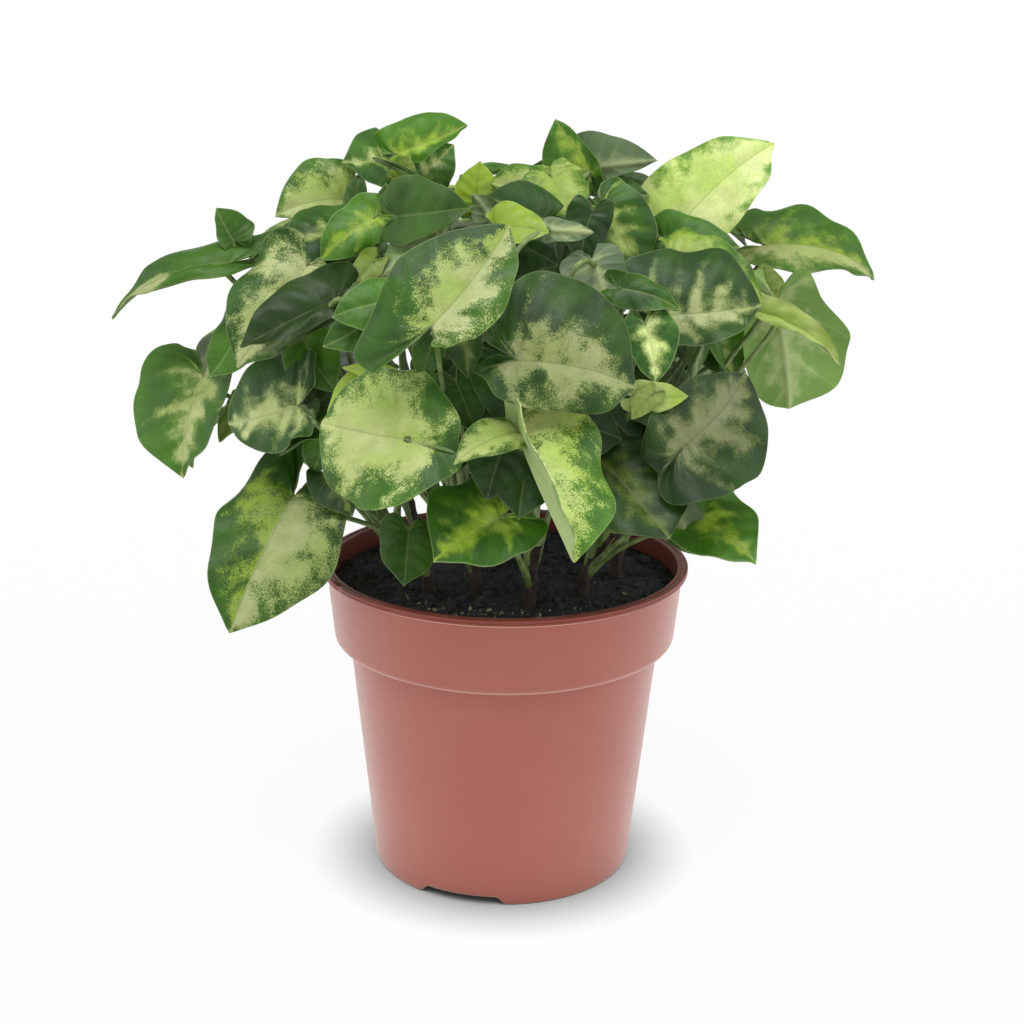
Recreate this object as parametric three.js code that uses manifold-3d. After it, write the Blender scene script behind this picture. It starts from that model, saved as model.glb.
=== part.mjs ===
// Variegated arrowhead plant in a 12 cm plastic nursery pot.
// Millimetres, +Z up. The origin is the middle of the pot's foot, on the surface it stands on.
// +X is to the right and -Y towards someone who looks at the front of the plant.

import * as THREE from 'three';
import Module from 'manifold-3d';
import { mergeVertices } from 'three/addons/utils/BufferGeometryUtils.js';

const wasm = await Module();
wasm.setup();

// ---------------------------------------------------------------- driving dimensions

const POT_HEIGHT = 103.4;
const LIP_RADIUS = 60;
const BAND_TOP_RADIUS = 58.3;
const BAND_FOOT_RADIUS = 56;
const BAND_FOOT_Z = 78.5;
const BODY_TOP_RADIUS = 51.1;
const FOOT_RADIUS = 43;
const LIP_HEIGHT = 2;
const STEP_SLOPE = 1.4;
const WALL = 1.2;
const EDGE = 0.6;
const FOOT_RING = 2;
const BASE_Z = 3;
const BASE_THICKNESS = 1.6;
const POT_SIDES = 32;

const NOTCHES = 3;
const NOTCH_FIRST_ANGLE = -18;
const NOTCH_ARC = 36;
const NOTCH_HEIGHT = 2.8;
const NOTCH_SLOPE = 1.6;
const DRAIN_HOLES = 5;
const DRAIN_RADIUS = 4;
const DRAIN_CIRCLE = 24;
const DRAIN_SIDES = 10;

const SOIL_Z = 98;
const SOIL_MOUND = 1.4;
const SOIL_CORNER = 2;
const CLEARANCE = 0.3;
const STEM_DEPTH = 12;
const STEM_HOLE_SIDES = 8;

const STEM_RADIUS = 2.1;
const STEM_TOP_RADIUS = 1.5;
const STEM_SIDES = 5;
const STEM_STEPS = 4;
const PETIOLE_FOOT_RADIUS = 0.9;
const PETIOLE_END_RADIUS = 0.75;
const PETIOLE_SIDES = 3;
const PETIOLE_STEPS = 3;
const FIRST_LEAF_SHARE = 0.25;
const BLADE_THICKNESS = 0.7;
const SMALL_BLADE = 24;

const radians = THREE.MathUtils.degToRad;

// ---------------------------------------------------------------- the plant, leaf by leaf

const SWAY = 0.05;
const FLICK = 0.06;

// One leaf: where the petiole meets the blade, where the tip is, and which way the blade's top faces
// (degrees round Z from the front, then degrees above level). The form is optional:
// width  half widths left and right of the rib, full  how far the shoulders reach towards the tip,
// lobes  length of the two lobes behind the joint, shut  how far the lobes close behind it, fold  rise
// of each half at the rib, cup  how each half rolls down again, bend  arch of the rib, wave  ripple of
// the margin, sway  sideways curve of the rib, flick  rise of the tip, twist  turn of the tip,
// bow  sideways swing of the petiole in millimetres. Where a leaf states no sway or flick, it gets a
// little of both from its own place, because no two leaves lie alike.
function leaf(at, tip, face, form = {}) {
  const sway = SWAY * Math.sin(at[0] + 2 * at[2]);
  const flick = FLICK * Math.cos(2 * at[0] + at[2]);
  return { width: 1, full: 0.7, lobes: 1, fold: [12, 12], cup: [25, 25], bend: 35, wave: 0.05, sway, flick,
    twist: 0, shut: 0, bow: [0, 0, 0], ...form, at, tip, face };
}

// Each leafy stem stands at base, ends at top, and lists its leaves from the lowest up.
const STEMS = [
  {
    name: 'leafy_stem_front_left',
    base: [-24, -20],
    top: [-34, -26, 122],
    leaves: [
      leaf([-29, -46, 126], [-30, -54, 112], [5, 25], { width: 1.05, bend: 15 }),
      leaf([-65, -36, 134], [-83, -56, 97], [-5, 35],
        { width: [0.84, 0.78], full: 1, lobes: [0.75, 1.35], fold: [8, 5], bend: 24, sway: 0 }),
      leaf([-28, -80, 164], [-52, -66, 165], [0, 25],
        { width: [1.5, 1.4], full: 1.1, lobes: 1.75, bend: 34, shut: 0.42, sway: 0.03 }),
    ],
  },
  {
    name: 'leafy_stem_left',
    base: [-34, -4],
    top: [-46, -8, 128],
    leaves: [
      leaf([-90, 8, 152], [-106, 14, 130], [-100, 25]),
      leaf([-55, -32, 154], [-59, -34, 141], [-10, 15], { width: 0.9, bend: 10 }),
      leaf([-62, -42, 164], [-86, -28, 155], [-10, 30], { width: [0.8, 1.5], lobes: 0.6, bend: 25 }),
      leaf([-95, -12, 166], [-100, -26, 137], [-8, 22],
        { width: [0.75, 1.3], full: 1, fold: [40, 0], bend: 22 }),
      leaf([-61, -30, 181], [-51, -36, 167], [-5, 20], { width: 0.9, bend: 25 }),
      leaf([-82, -18, 183], [-91, -22, 168], [-20, 20], { width: 0.9, bend: 15 }),
      leaf([-51, -44, 196], [-77, -50, 183], [0, 32],
        { width: [0.35, 0.7], full: 1.1, fold: [25, 10], bend: 20, sway: 0 }),
      leaf([-60, -30, 204], [-80, -44, 176], [-8, 30],
        { width: [0.6, 0.85], full: 1.1, lobes: 0.4, bend: 30 }),
    ],
  },
  {
    name: 'leafy_stem_far_left',
    base: [-30, 14],
    top: [-40, 16, 140],
    leaves: [
      leaf([-64, 10, 197], [-80, 8, 172], [-85, 35]),
      leaf([-85, -20, 203], [-122, -16, 185], [-5, 45],
        { width: [0.25, 0.55], full: 0.8, lobes: 1.5, bend: 50, twist: 60, sway: -0.05 }),
      leaf([-42, -12, 205], [-68, -16, 206], [180, -20], { width: 0.3, bend: 15 }),
      leaf([-84, -16, 210], [-89, -14, 219], [-10, 15],
        { width: [0.7, 1.5], full: 0.4, bend: 12, wave: 0.1 }),
      leaf([-50, -12, 212], [-69, -20, 209], [0, 45], { width: 1.15, bend: 15 }),
      leaf([-57, 8, 215], [-80, 4, 205], [-85, 60]),
      leaf([-41, -19, 217], [-57, -25, 205], [-5, 30], { width: 0.75, bend: 25 }),
      leaf([-52, 4, 220], [-72, -6, 216], [-10, 20], { width: [0.8, 1.2], bend: 15, wave: 0.06 }),
    ],
  },
  {
    name: 'leafy_stem_top_left',
    base: [-14, 8],
    top: [-20, 8, 150],
    leaves: [
      leaf([-21, -30, 212], [-39, -36, 201], [180, -15], { width: [0.7, 0.7], bend: 15 }),
      leaf([-38, -6, 213], [-38, -4, 226], [0, 20], { width: 0.8, bend: 15 }),
      leaf([-32, -28, 219], [-11, -36, 223], [0, 25], { width: [0.95, 0.8], fold: [20, 20], bend: 25 }),
      leaf([-22, 28, 221], [-38, 48, 214], [-155, 60]),
      leaf([-30, 20, 224], [-18, 24, 235], [0, 25], { width: [1, 1.1], bend: 20, wave: 0.06 }),
      leaf([-34, 12, 231], [-52, 0, 231], [-10, 30], { width: [0.9, 1.2] }),
      leaf([-35, 6, 234], [-13, 2, 243], [5, 30],
        { width: [0.85, 0.35], full: 1.3, cup: [35, 25], bend: 15 }),
    ],
  },
  {
    name: 'leafy_stem_front_centre',
    base: [-9, -24],
    top: [-14, -34, 130],
    leaves: [
      leaf([-46, -54, 163], [-42, -52, 180], [0, 18], { width: 0.75, bend: 15 }),
      leaf([-14, -60, 175], [-8, -64, 161], [0, 15], { width: 0.7, bend: 15 }),
      leaf([-31, -58, 175], [-47, -58, 179], [0, 40], { width: 0.4, bend: 15 }),
      leaf([-41, -52, 191], [-53, -56, 185], [0, 25], { width: 0.8, bend: 15 }),
      leaf([-20, -84, 197], [0, -68, 221], [0, 28],
        { width: [1, 0.62], full: 1.2, lobes: [1.65, 0.35], fold: [5, 20], bend: 25,
          wave: 0.04, sway: -0.04 }),
      leaf([-32, -54, 198], [-50, -58, 194], [-5, 30], { width: [1, 0.8], bend: 25 }),
    ],
  },
  {
    name: 'leafy_stem_front',
    base: [8, -30],
    top: [10, -42, 122],
    leaves: [
      leaf([-1, -62, 136], [-20, -78, 128], [-5, 36],
        { width: [0.95, 1.45], lobes: [1.2, 1.5], bend: 20, wave: 0.06, sway: 0 }),
      leaf([4, -74, 164], [20, -96, 134], [8, 35],
        { width: [1.08, 0.7], full: 1.3, lobes: [1.1, 0.35], fold: [5, 95], bend: 36, sway: -0.04 }),
      leaf([3, -76, 165], [-14, -88, 159], [-10, 45], { width: 0.6, fold: [20, 20], bend: 60 }),
      leaf([5, -62, 173], [-11, -60, 179], [0, 20], { width: 1.1, bend: 15 }),
      leaf([3, -72, 185], [37, -72, 178], [5, 28],
        { width: [1.36, 0.76], full: 1.3, lobes: [0.95, 0.75], bend: 20, sway: 0.04 }),
    ],
  },
  {
    name: 'leafy_stem_front_right',
    base: [25, -20],
    top: [34, -28, 122],
    leaves: [
      leaf([55, -42, 134], [74, -60, 122], [22, 38], { width: 0.95, full: 0.8, bend: 22 }),
      leaf([59, -44, 148], [48, -46, 131], [10, 20], { bend: 15 }),
      leaf([27, -54, 153], [47, -72, 133], [12, 32], { width: [1.2, 0.9], full: 1.2, bend: 22 }),
      leaf([51, -62, 158], [71, -44, 177], [12, 28],
        { width: [0.82, 1.22], full: 0.8, lobes: [1, 1.3], bend: 20, wave: 0.04, shut: 0.35, sway: -0.05 }),
      leaf([38, -58, 172], [53, -56, 172], [10, 30], { width: 0.6, bend: 15 }),
      leaf([40, -50, 191], [43, -54, 175], [5, 22], { width: [1, 0.8], bend: 20 }),
    ],
  },
  {
    name: 'leafy_stem_right',
    base: [36, -2],
    top: [48, -4, 128],
    leaves: [
      leaf([62, -19, 158], [69, -24, 128], [80, 20], { wave: 0.04 }),
      leaf([71, 14, 160], [78, 12, 129], [90, 25], { wave: 0.03, sway: 0, flick: 0 }),
      leaf([65, 4, 181], [73, 0, 165], [10, 20], { bend: 25, wave: 0.03, sway: 0, flick: 0 }),
      leaf([60, -6, 188], [68, -9, 162], [85, 30], { width: 0.85, wave: 0.04 }),
      leaf([77, -14, 189], [103, -22, 175], [10, 50], { width: 0.35, fold: [45, 45] }),
      leaf([84, -6, 190], [90, -6, 157], [185, -12], { width: [0.62, 0.92], full: 2.6, bend: 40 }),
      leaf([63, -22, 192], [56, -28, 169], [180, -10], { width: 0.3, bend: 10 }),
      leaf([47, -38, 192], [76, -34, 195], [8, 30], { width: [1.5, 0.6], full: 1.3, lobes: 1.5, bend: 15 }),
      leaf([33, -46, 201], [50, -50, 196], [0, 30], { width: 0.6, bend: 15 }),
    ],
  },
  {
    name: 'leafy_stem_top_right',
    base: [27, 15],
    top: [38, 18, 145],
    leaves: [
      leaf([58, 17, 200], [66, 19, 179], [85, 30]),
      leaf([83, 18, 205], [121, 22, 195], [15, 50],
        { width: [0.85, 0.6], full: 0.8, bend: 36, sway: 0.06, flick: -0.06 }),
      leaf([52, -20, 205], [77, -26, 194], [10, 35], { width: [0.9, 0.5], bend: 30 }),
      leaf([49, -6, 210], [71, -10, 208], [0, 30], { width: [0.8, 0.7], bend: 25 }),
      leaf([53, 4, 212], [83, 10, 239], [-8, 30],
        { width: [0.78, 0.66], full: 1, fold: [10, 26], bend: 18, wave: 0.07, sway: 0.03 }),
      leaf([56, 24, 216], [78, 30, 203], [95, 60]),
      leaf([29, -8, 219], [42, -14, 199], [5, 22], { width: 0.95, bend: 20, wave: 0.03, sway: 0, flick: 0 }),
      leaf([28, 8, 221], [44, 6, 222], [0, 30], { width: 0.9, bend: 15, wave: 0.03, sway: 0, flick: 0 }),
    ],
  },
  {
    name: 'leafy_stem_top',
    base: [6, 4],
    top: [8, 0, 148],
    leaves: [
      leaf([25, -34, 207], [29, -40, 196], [180, -15], { width: 1.4, bend: 20 }),
      leaf([11, -32, 216], [25, -36, 216], [180, -20], { width: 0.5, bend: 10 }),
      leaf([10, -14, 217], [-8, -16, 223], [0, 35], { bend: 15 }),
      leaf([-3, -30, 217], [12, -36, 216], [0, 35], { width: 0.9 }),
      leaf([-10, -6, 220], [-9, -4, 233], [0, 20], { bend: 20 }),
      leaf([-2, 20, 224], [-8, 44, 217], [-170, 62]),
      leaf([11, 0, 225], [-6, -6, 227], [0, 30], { width: 0.9, bend: 15 }),
      leaf([13, -2, 228], [20, -12, 216], [5, 25], { width: 1.15, bend: 20, wave: 0.03, sway: 0, flick: 0 }),
      leaf([14, 12, 228], [25, 32, 226], [150, 68]),
      leaf([25, 6, 229], [14, 8, 245], [-5, 25],
        { width: [1.1, 0.35], full: 1.2, bend: 15, wave: 0.03, sway: 0, flick: 0 }),
      leaf([26, 10, 230], [46, 4, 233], [185, -12],
        { width: [0.4, 1.05], full: 0.2, lobes: 1.8, bend: 15, wave: 0.03, sway: 0, flick: 0 }),
    ],
  },
  {
    name: 'leafy_stem_back_left',
    base: [-20, 32],
    top: [-32, 46, 128],
    leaves: [
      leaf([-70, 58, 152], [-88, 76, 126], [-135, 25]),
      leaf([-84, 24, 178], [-104, 36, 150], [-110, 30]),
      leaf([-42, 66, 178], [-56, 92, 152], [-160, 30]),
      leaf([-62, 52, 200], [-88, 74, 176], [-135, 35]),
      leaf([-20, 60, 206], [-34, 86, 190], [-170, 45]),
      leaf([-44, 30, 216], [-66, 44, 204], [-130, 55]),
    ],
  },
  {
    name: 'leafy_stem_back',
    base: [2, 36],
    top: [4, 54, 132],
    leaves: [
      leaf([-24, 66, 140], [-34, 84, 112], [-165, 25]),
      leaf([30, 70, 146], [40, 88, 118], [160, 25]),
      leaf([1, 78, 172], [0, 101, 142], [-175, 25]),
      leaf([28, 72, 190], [38, 98, 164], [165, 30]),
      leaf([4, 66, 210], [8, 99, 186], [180, 45]),
      leaf([4, 42, 226], [8, 68, 218], [175, 65]),
    ],
  },
  {
    name: 'leafy_stem_back_right',
    base: [23, 33],
    top: [34, 48, 128],
    leaves: [
      leaf([60, 46, 136], [74, 64, 106], [135, 25]),
      leaf([60, 56, 166], [80, 76, 138], [140, 25]),
      leaf([80, 28, 176], [100, 44, 148], [115, 30], { wave: 0.03, sway: 0, flick: 0 }),
      leaf([56, 48, 204], [80, 70, 184], [135, 40]),
      leaf([38, 34, 222], [58, 54, 214], [140, 60]),
    ],
  },
];

// ---------------------------------------------------------------- solids

function solidOf(geometry) {
  const bare = geometry.clone();
  bare.deleteAttribute('normal');
  bare.deleteAttribute('uv');
  const merged = mergeVertices(bare, 1e-4);
  const vertProperties = new Float32Array(merged.attributes.position.array);
  const triVerts = new Uint32Array(merged.index.array);
  return new wasm.Manifold(new wasm.Mesh({ numProp: 3, vertProperties, triVerts }));
}

function geometryOf(solid) {
  const mesh = solid.getMesh();
  const geometry = new THREE.BufferGeometry();
  geometry.setAttribute('position', new THREE.BufferAttribute(mesh.vertProperties, 3));
  geometry.setIndex(new THREE.BufferAttribute(mesh.triVerts, 1));
  return geometry;
}

function turned(profile, sides) {
  const geometry = new THREE.LatheGeometry(profile.map(([r, z]) => new THREE.Vector2(r, z)), sides);
  return geometry.rotateX(Math.PI / 2);
}

function post(x, y, radius, bottom, top, sides) {
  const geometry = new THREE.CylinderGeometry(radius, radius, top - bottom, sides);
  return geometry.rotateX(Math.PI / 2).translate(x, y, (top + bottom) / 2);
}

// A closed tube along a row of points, with a radius that runs evenly from the first to the last.
function tube(points, firstRadius, lastRadius, sides) {
  const positions = [];
  const index = [];
  const last = points.length - 1;
  let side = new THREE.Vector3(0, 1, 0);
  points.forEach((point, i) => {
    const along = points[Math.min(i + 1, last)].clone().sub(points[Math.max(i - 1, 0)]).normalize();
    side = side.clone().addScaledVector(along, -side.dot(along)).normalize();
    const other = along.clone().cross(side);
    const radius = THREE.MathUtils.lerp(firstRadius, lastRadius, i / last);
    for (let s = 0; s < sides; s += 1) {
      const angle = (2 * Math.PI * s) / sides;
      const rim = point.clone();
      rim.addScaledVector(side, radius * Math.cos(angle));
      rim.addScaledVector(other, radius * Math.sin(angle));
      positions.push(...rim.toArray());
    }
  });
  for (let i = 0; i < last; i += 1) {
    for (let s = 0; s < sides; s += 1) {
      const next = (s + 1) % sides;
      const [a, b] = [i * sides + s, i * sides + next];
      index.push(a, b, b + sides, a, b + sides, a + sides);
    }
  }
  for (let s = 1; s < sides - 1; s += 1) {
    index.push(0, s + 1, s);
    index.push(last * sides, last * sides + s, last * sides + s + 1);
  }
  const geometry = new THREE.BufferGeometry();
  geometry.setAttribute('position', new THREE.Float32BufferAttribute(positions, 3));
  geometry.setIndex(index);
  return geometry;
}

// ---------------------------------------------------------------- blades

// Half of the flat outline in blade lengths, from the joint round the lobe to the tip, and where
// the rib point of each row lies.
const OUTLINE = [[0, 0], [-0.33, 0.17], [-0.29, 0.38], [-0.06, 0.485], [0.26, 0.455], [0.62, 0.27], [1, 0]];
const SHOULDER = [[0, 0], [0, 0], [0, 0], [0.06, 0.02], [0.08, 0.07], [0.09, 0.1], [0, 0]];
const RIB = [0, 0, 0, 0.12, 0.38, 0.7, 1];
const WAVES = 2.2;
const WAVE_OFFSET = 1.7;
const SINUS_GAP = 0.012;
const FLICK_START = 0.55;

// The blade's own axes: along from joint to tip, up out of the top, and across to the left of the rib.
function bladeFrame({ at, tip, face }) {
  const joint = new THREE.Vector3(...at);
  const along = new THREE.Vector3(...tip).sub(joint);
  const length = along.length();
  along.divideScalar(length);
  const [turn, rise] = face.map(radians);
  const level = Math.cos(rise);
  const up = new THREE.Vector3(level * Math.sin(turn), -level * Math.cos(turn), Math.sin(rise));
  up.addScaledVector(along, -up.dot(along)).normalize();
  return { joint, length, along, up, across: up.clone().cross(along) };
}

// A point of the blade: x along the rib and y out from it, in blade lengths; side is 0 left or 1
// right; share runs from 0 at the rib to 1 at the margin and turn from 0 at the joint to 1 at the tip.
function bladePoint(form, frame, x, y, side, share, turn) {
  const bend = radians(form.bend);
  const radius = 1 / (2 * Math.sin(bend / 2));
  const angle = bend * (Math.max(x, 0) - 0.5);
  const behind = Math.min(x, 0);
  const ribX = radius * Math.sin(angle) + 0.5 + behind * Math.cos(angle);
  const ribZ = radius * (Math.cos(angle) - Math.cos(bend / 2)) - behind * Math.sin(angle);
  const tilt = radians(form.fold[side]) - radians(form.cup[side]) * y;
  const ripple = Math.sin(2 * Math.PI * WAVES * turn + side * WAVE_OFFSET) * Math.sin(Math.PI * turn);
  const outward = (side === 0 ? 1 : -1) * y * Math.cos(tilt);
  const lift = y * Math.sin(tilt) + form.wave * share * share * ripple;
  const ahead = Math.max(x, 0);
  const twist = radians(form.twist) * ahead;
  const swing = form.sway * 4 * ahead * (1 - ahead);
  const flick = form.flick * Math.max(0, (ahead - FLICK_START) / (1 - FLICK_START)) ** 2;
  const across = outward * Math.cos(twist) - lift * Math.sin(twist) + swing;
  const rise = outward * Math.sin(twist) + lift * Math.cos(twist) + flick;
  return frame.joint.clone()
    .addScaledVector(frame.along, frame.length * (ribX + rise * Math.sin(angle)))
    .addScaledVector(frame.across, frame.length * across)
    .addScaledVector(frame.up, frame.length * (ribZ + rise * Math.cos(angle)));
}

// The middle surface of a blade as shared points and triangles: a fan of quads from the rib to the
// margin on each half, with the rows that meet in one point at the joint and at the tip closed up.
function bladeSurface(form) {
  const frame = bladeFrame(form);
  const columns = frame.length < SMALL_BLADE ? 1 : 2;
  const widths = [form.width].flat();
  const lobes = [form.lobes].flat();
  const points = [];
  const keys = new Map();
  const triangles = [];
  const place = (point) => {
    const key = point.toArray().map((value) => value.toFixed(4)).join();
    if (!keys.has(key)) {
      keys.set(key, points.length);
      points.push(point);
    }
    return keys.get(key);
  };
  const add = (a, b, c, side) => {
    if (a !== b && b !== c && c !== a) {
      triangles.push(side === 0 ? [a, b, c] : [a, c, b]);
    }
  };
  for (let side = 0; side < 2; side += 1) {
    const width = widths[side] ?? widths[0];
    const lobe = lobes[side] ?? lobes[0];
    const rows = OUTLINE.map(([x, y], i) => {
      const behind = Math.min(x, 0) * lobe;
      const rimX = behind + Math.max(x, 0) + form.full * SHOULDER[i][0];
      const open = width * (y + form.full * SHOULDER[i][1]);
      const rimY = behind < 0 ? Math.max(open + form.shut * behind, SINUS_GAP) : open;
      const turn = i / (OUTLINE.length - 1);
      const row = [];
      for (let c = 0; c <= columns; c += 1) {
        const share = c / columns;
        const pointX = THREE.MathUtils.lerp(RIB[i], rimX, share);
        row.push(place(bladePoint(form, frame, pointX, rimY * share, side, share, turn)));
      }
      return row;
    });
    for (let i = 0; i < rows.length - 1; i += 1) {
      for (let c = 0; c < columns; c += 1) {
        add(rows[i][c], rows[i + 1][c], rows[i + 1][c + 1], side);
        add(rows[i][c], rows[i + 1][c + 1], rows[i][c + 1], side);
      }
    }
  }
  return { points, triangles };
}

// The blade as a solid: its middle surface moved half a thickness up and down, and a strip between
// the two round every open edge.
function bladeSolid(form) {
  const { points, triangles } = bladeSurface(form);
  const normals = points.map(() => new THREE.Vector3());
  const edges = new Map();
  triangles.forEach(([a, b, c]) => {
    const normal = points[b].clone().sub(points[a]).cross(points[c].clone().sub(points[a]));
    [a, b, c].forEach((corner) => normals[corner].add(normal));
    [[a, b], [b, c], [c, a]].forEach(([from, to]) => {
      if (!edges.delete(`${to}-${from}`)) {
        edges.set(`${from}-${to}`, [from, to]);
      }
    });
  });
  const count = points.length;
  const shifted = (sign) => points.map((point, i) => (
    point.clone().addScaledVector(normals[i].clone().normalize(), (sign * BLADE_THICKNESS) / 2)));
  const positions = [...shifted(1), ...shifted(-1)].flatMap((point) => point.toArray());
  const index = triangles.flatMap(([a, b, c]) => [a, b, c, a + count, c + count, b + count]);
  edges.forEach(([from, to]) => {
    index.push(from, from + count, to + count, from, to + count, to);
  });
  const geometry = new THREE.BufferGeometry();
  geometry.setAttribute('position', new THREE.Float32BufferAttribute(positions, 3));
  geometry.setIndex(index);
  return solidOf(geometry);
}

// ---------------------------------------------------------------- stems

const PETIOLE_RISE = 0.15;
const PETIOLE_LEAN = 0.4;
const PETIOLE_REACH = 0.33;
const PETIOLE_SEAT = 0.07;
const ARRIVAL_UNDER = 0.75;
const ARRIVAL_ALONG = 0.35;

// A point on the main stem, from 0 at the soil to 1 at its top.
function stemPoint({ base, top }, share) {
  const foot = new THREE.Vector3(...base, SOIL_Z);
  const end = new THREE.Vector3(...top);
  const knee = foot.clone().setZ((SOIL_Z + end.z) / 2);
  return new THREE.QuadraticBezierCurve3(foot, knee, end).getPoint(share);
}

// The petiole rises from the main stem and comes up to the blade's underside at the joint.
function petiolePoints(form, foot) {
  const frame = bladeFrame(form);
  const { along, up } = frame;
  const joint = bladePoint(form, frame, PETIOLE_SEAT, 0, 0, 0, 0);
  const angle = -radians(form.bend) / 2;
  const under = up.clone().multiplyScalar(Math.cos(angle)).addScaledVector(along, Math.sin(angle));
  const rib = along.clone().multiplyScalar(Math.cos(angle)).addScaledVector(up, -Math.sin(angle));
  const chord = joint.clone().sub(foot);
  const arrival = under.multiplyScalar(ARRIVAL_UNDER).addScaledVector(rib, ARRIVAL_ALONG);
  arrival.addScaledVector(chord.clone().normalize(), ARRIVAL_ALONG).normalize();
  const rise = foot.clone().add(new THREE.Vector3(...form.bow)).addScaledVector(chord, PETIOLE_LEAN);
  rise.z += chord.length() * PETIOLE_RISE;
  const reach = joint.clone().addScaledVector(arrival, -chord.length() * PETIOLE_REACH);
  return new THREE.CubicBezierCurve3(foot, rise, reach, joint).getPoints(PETIOLE_STEPS);
}

function leafyStem(stem) {
  const points = [new THREE.Vector3(...stem.base, SOIL_Z - STEM_DEPTH + CLEARANCE)];
  for (let i = 0; i <= STEM_STEPS; i += 1) {
    points.push(stemPoint(stem, i / STEM_STEPS));
  }
  let solid = solidOf(tube(points, STEM_RADIUS, STEM_TOP_RADIUS, STEM_SIDES));
  stem.leaves.forEach((form, i) => {
    const order = i / Math.max(1, stem.leaves.length - 1);
    const foot = stemPoint(stem, THREE.MathUtils.lerp(FIRST_LEAF_SHARE, 1, order));
    const petiole = tube(petiolePoints(form, foot), PETIOLE_FOOT_RADIUS, PETIOLE_END_RADIUS, PETIOLE_SIDES);
    solid = solid.add(solidOf(petiole)).add(bladeSolid(form));
  });
  return geometryOf(solid);
}

// ---------------------------------------------------------------- pot and soil

// Inner radius of the pot wall at a height: in the body below the step, and in the band above it.
function bodyInside(z) {
  return THREE.MathUtils.mapLinear(z, 0, BAND_FOOT_Z, FOOT_RADIUS, BODY_TOP_RADIUS) - WALL;
}

function bandInside(z) {
  return THREE.MathUtils.mapLinear(z, BAND_FOOT_Z, POT_HEIGHT, BAND_FOOT_RADIUS, BAND_TOP_RADIUS) - WALL;
}

function pot() {
  const lipFoot = POT_HEIGHT - LIP_HEIGHT;
  const ledge = BAND_FOOT_Z + WALL;
  const floor = BASE_Z + BASE_THICKNESS;
  const profile = [
    [0, BASE_Z],
    [FOOT_RADIUS - FOOT_RING - EDGE, BASE_Z],
    [FOOT_RADIUS - FOOT_RING, 0],
    [FOOT_RADIUS - EDGE, 0],
    [FOOT_RADIUS, EDGE],
    [BODY_TOP_RADIUS, BAND_FOOT_Z - STEP_SLOPE],
    [BAND_FOOT_RADIUS - EDGE, BAND_FOOT_Z - EDGE],
    [BAND_FOOT_RADIUS, BAND_FOOT_Z + EDGE],
    [BAND_TOP_RADIUS, lipFoot - EDGE],
    [LIP_RADIUS - EDGE, lipFoot],
    [LIP_RADIUS, lipFoot + LIP_HEIGHT / 2],
    [LIP_RADIUS - EDGE, POT_HEIGHT],
    [BAND_TOP_RADIUS - WALL + EDGE, POT_HEIGHT],
    [bandInside(lipFoot), lipFoot],
    [bandInside(ledge), ledge],
    [bodyInside(BAND_FOOT_Z), BAND_FOOT_Z],
    [bodyInside(floor + EDGE), floor + EDGE],
    [bodyInside(floor) - EDGE, floor],
    [0, floor],
  ];
  let solid = solidOf(turned(profile, POT_SIDES));
  const drain = (x, y) => solidOf(post(x, y, DRAIN_RADIUS, 0, 2 * floor, DRAIN_SIDES));
  solid = solid.subtract(drain(0, 0));
  for (let i = 0; i < DRAIN_HOLES; i += 1) {
    const angle = (2 * Math.PI * i) / DRAIN_HOLES;
    solid = solid.subtract(drain(DRAIN_CIRCLE * Math.cos(angle), DRAIN_CIRCLE * Math.sin(angle)));
  }
  for (let i = 0; i < NOTCHES; i += 1) {
    solid = solid.subtract(solidOf(notch(NOTCH_FIRST_ANGLE + (360 * i) / NOTCHES)));
  }
  return geometryOf(solid);
}

// What a foot cut-out takes away: a low block across the foot ring whose ends slope outwards.
function notch(middle) {
  const half = FOOT_RADIUS * Math.sin(radians(NOTCH_ARC / 2));
  const outline = new THREE.Shape();
  outline.moveTo(-half - NOTCH_SLOPE / 2, -NOTCH_HEIGHT);
  outline.lineTo(half + NOTCH_SLOPE / 2, -NOTCH_HEIGHT);
  outline.lineTo(half - NOTCH_SLOPE, NOTCH_HEIGHT);
  outline.lineTo(-half + NOTCH_SLOPE, NOTCH_HEIGHT);
  outline.closePath();
  const block = new THREE.ExtrudeGeometry(outline, { depth: FOOT_RADIUS, bevelEnabled: false });
  block.translate(0, 0, FOOT_RADIUS / 2).rotateX(Math.PI / 2);
  return block.rotateZ(radians(middle));
}

function soil() {
  const floor = BASE_Z + BASE_THICKNESS + CLEARANCE;
  const ledge = BAND_FOOT_Z + WALL + CLEARANCE;
  const rim = bandInside(SOIL_Z) - CLEARANCE;
  const profile = [
    [0, floor],
    [bodyInside(floor) - SOIL_CORNER, floor],
    [bodyInside(floor + SOIL_CORNER) - CLEARANCE, floor + SOIL_CORNER],
    [bodyInside(BAND_FOOT_Z) - CLEARANCE, BAND_FOOT_Z],
    [bodyInside(BAND_FOOT_Z) - CLEARANCE, ledge],
    [bandInside(ledge) - CLEARANCE, ledge],
    [rim, SOIL_Z - SOIL_MOUND],
    [0.85 * rim, SOIL_Z],
    [0.5 * rim, SOIL_Z + SOIL_MOUND / 2],
    [0, SOIL_Z + SOIL_MOUND],
  ];
  let solid = solidOf(turned(profile, POT_SIDES));
  STEMS.forEach(({ base: [x, y] }) => {
    const radius = STEM_RADIUS + 2 * CLEARANCE;
    const hole = post(x, y, radius, SOIL_Z - STEM_DEPTH, SOIL_Z + STEM_DEPTH, STEM_HOLE_SIDES);
    solid = solid.subtract(solidOf(hole));
  });
  return geometryOf(solid);
}

// ---------------------------------------------------------------- the assembly

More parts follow.
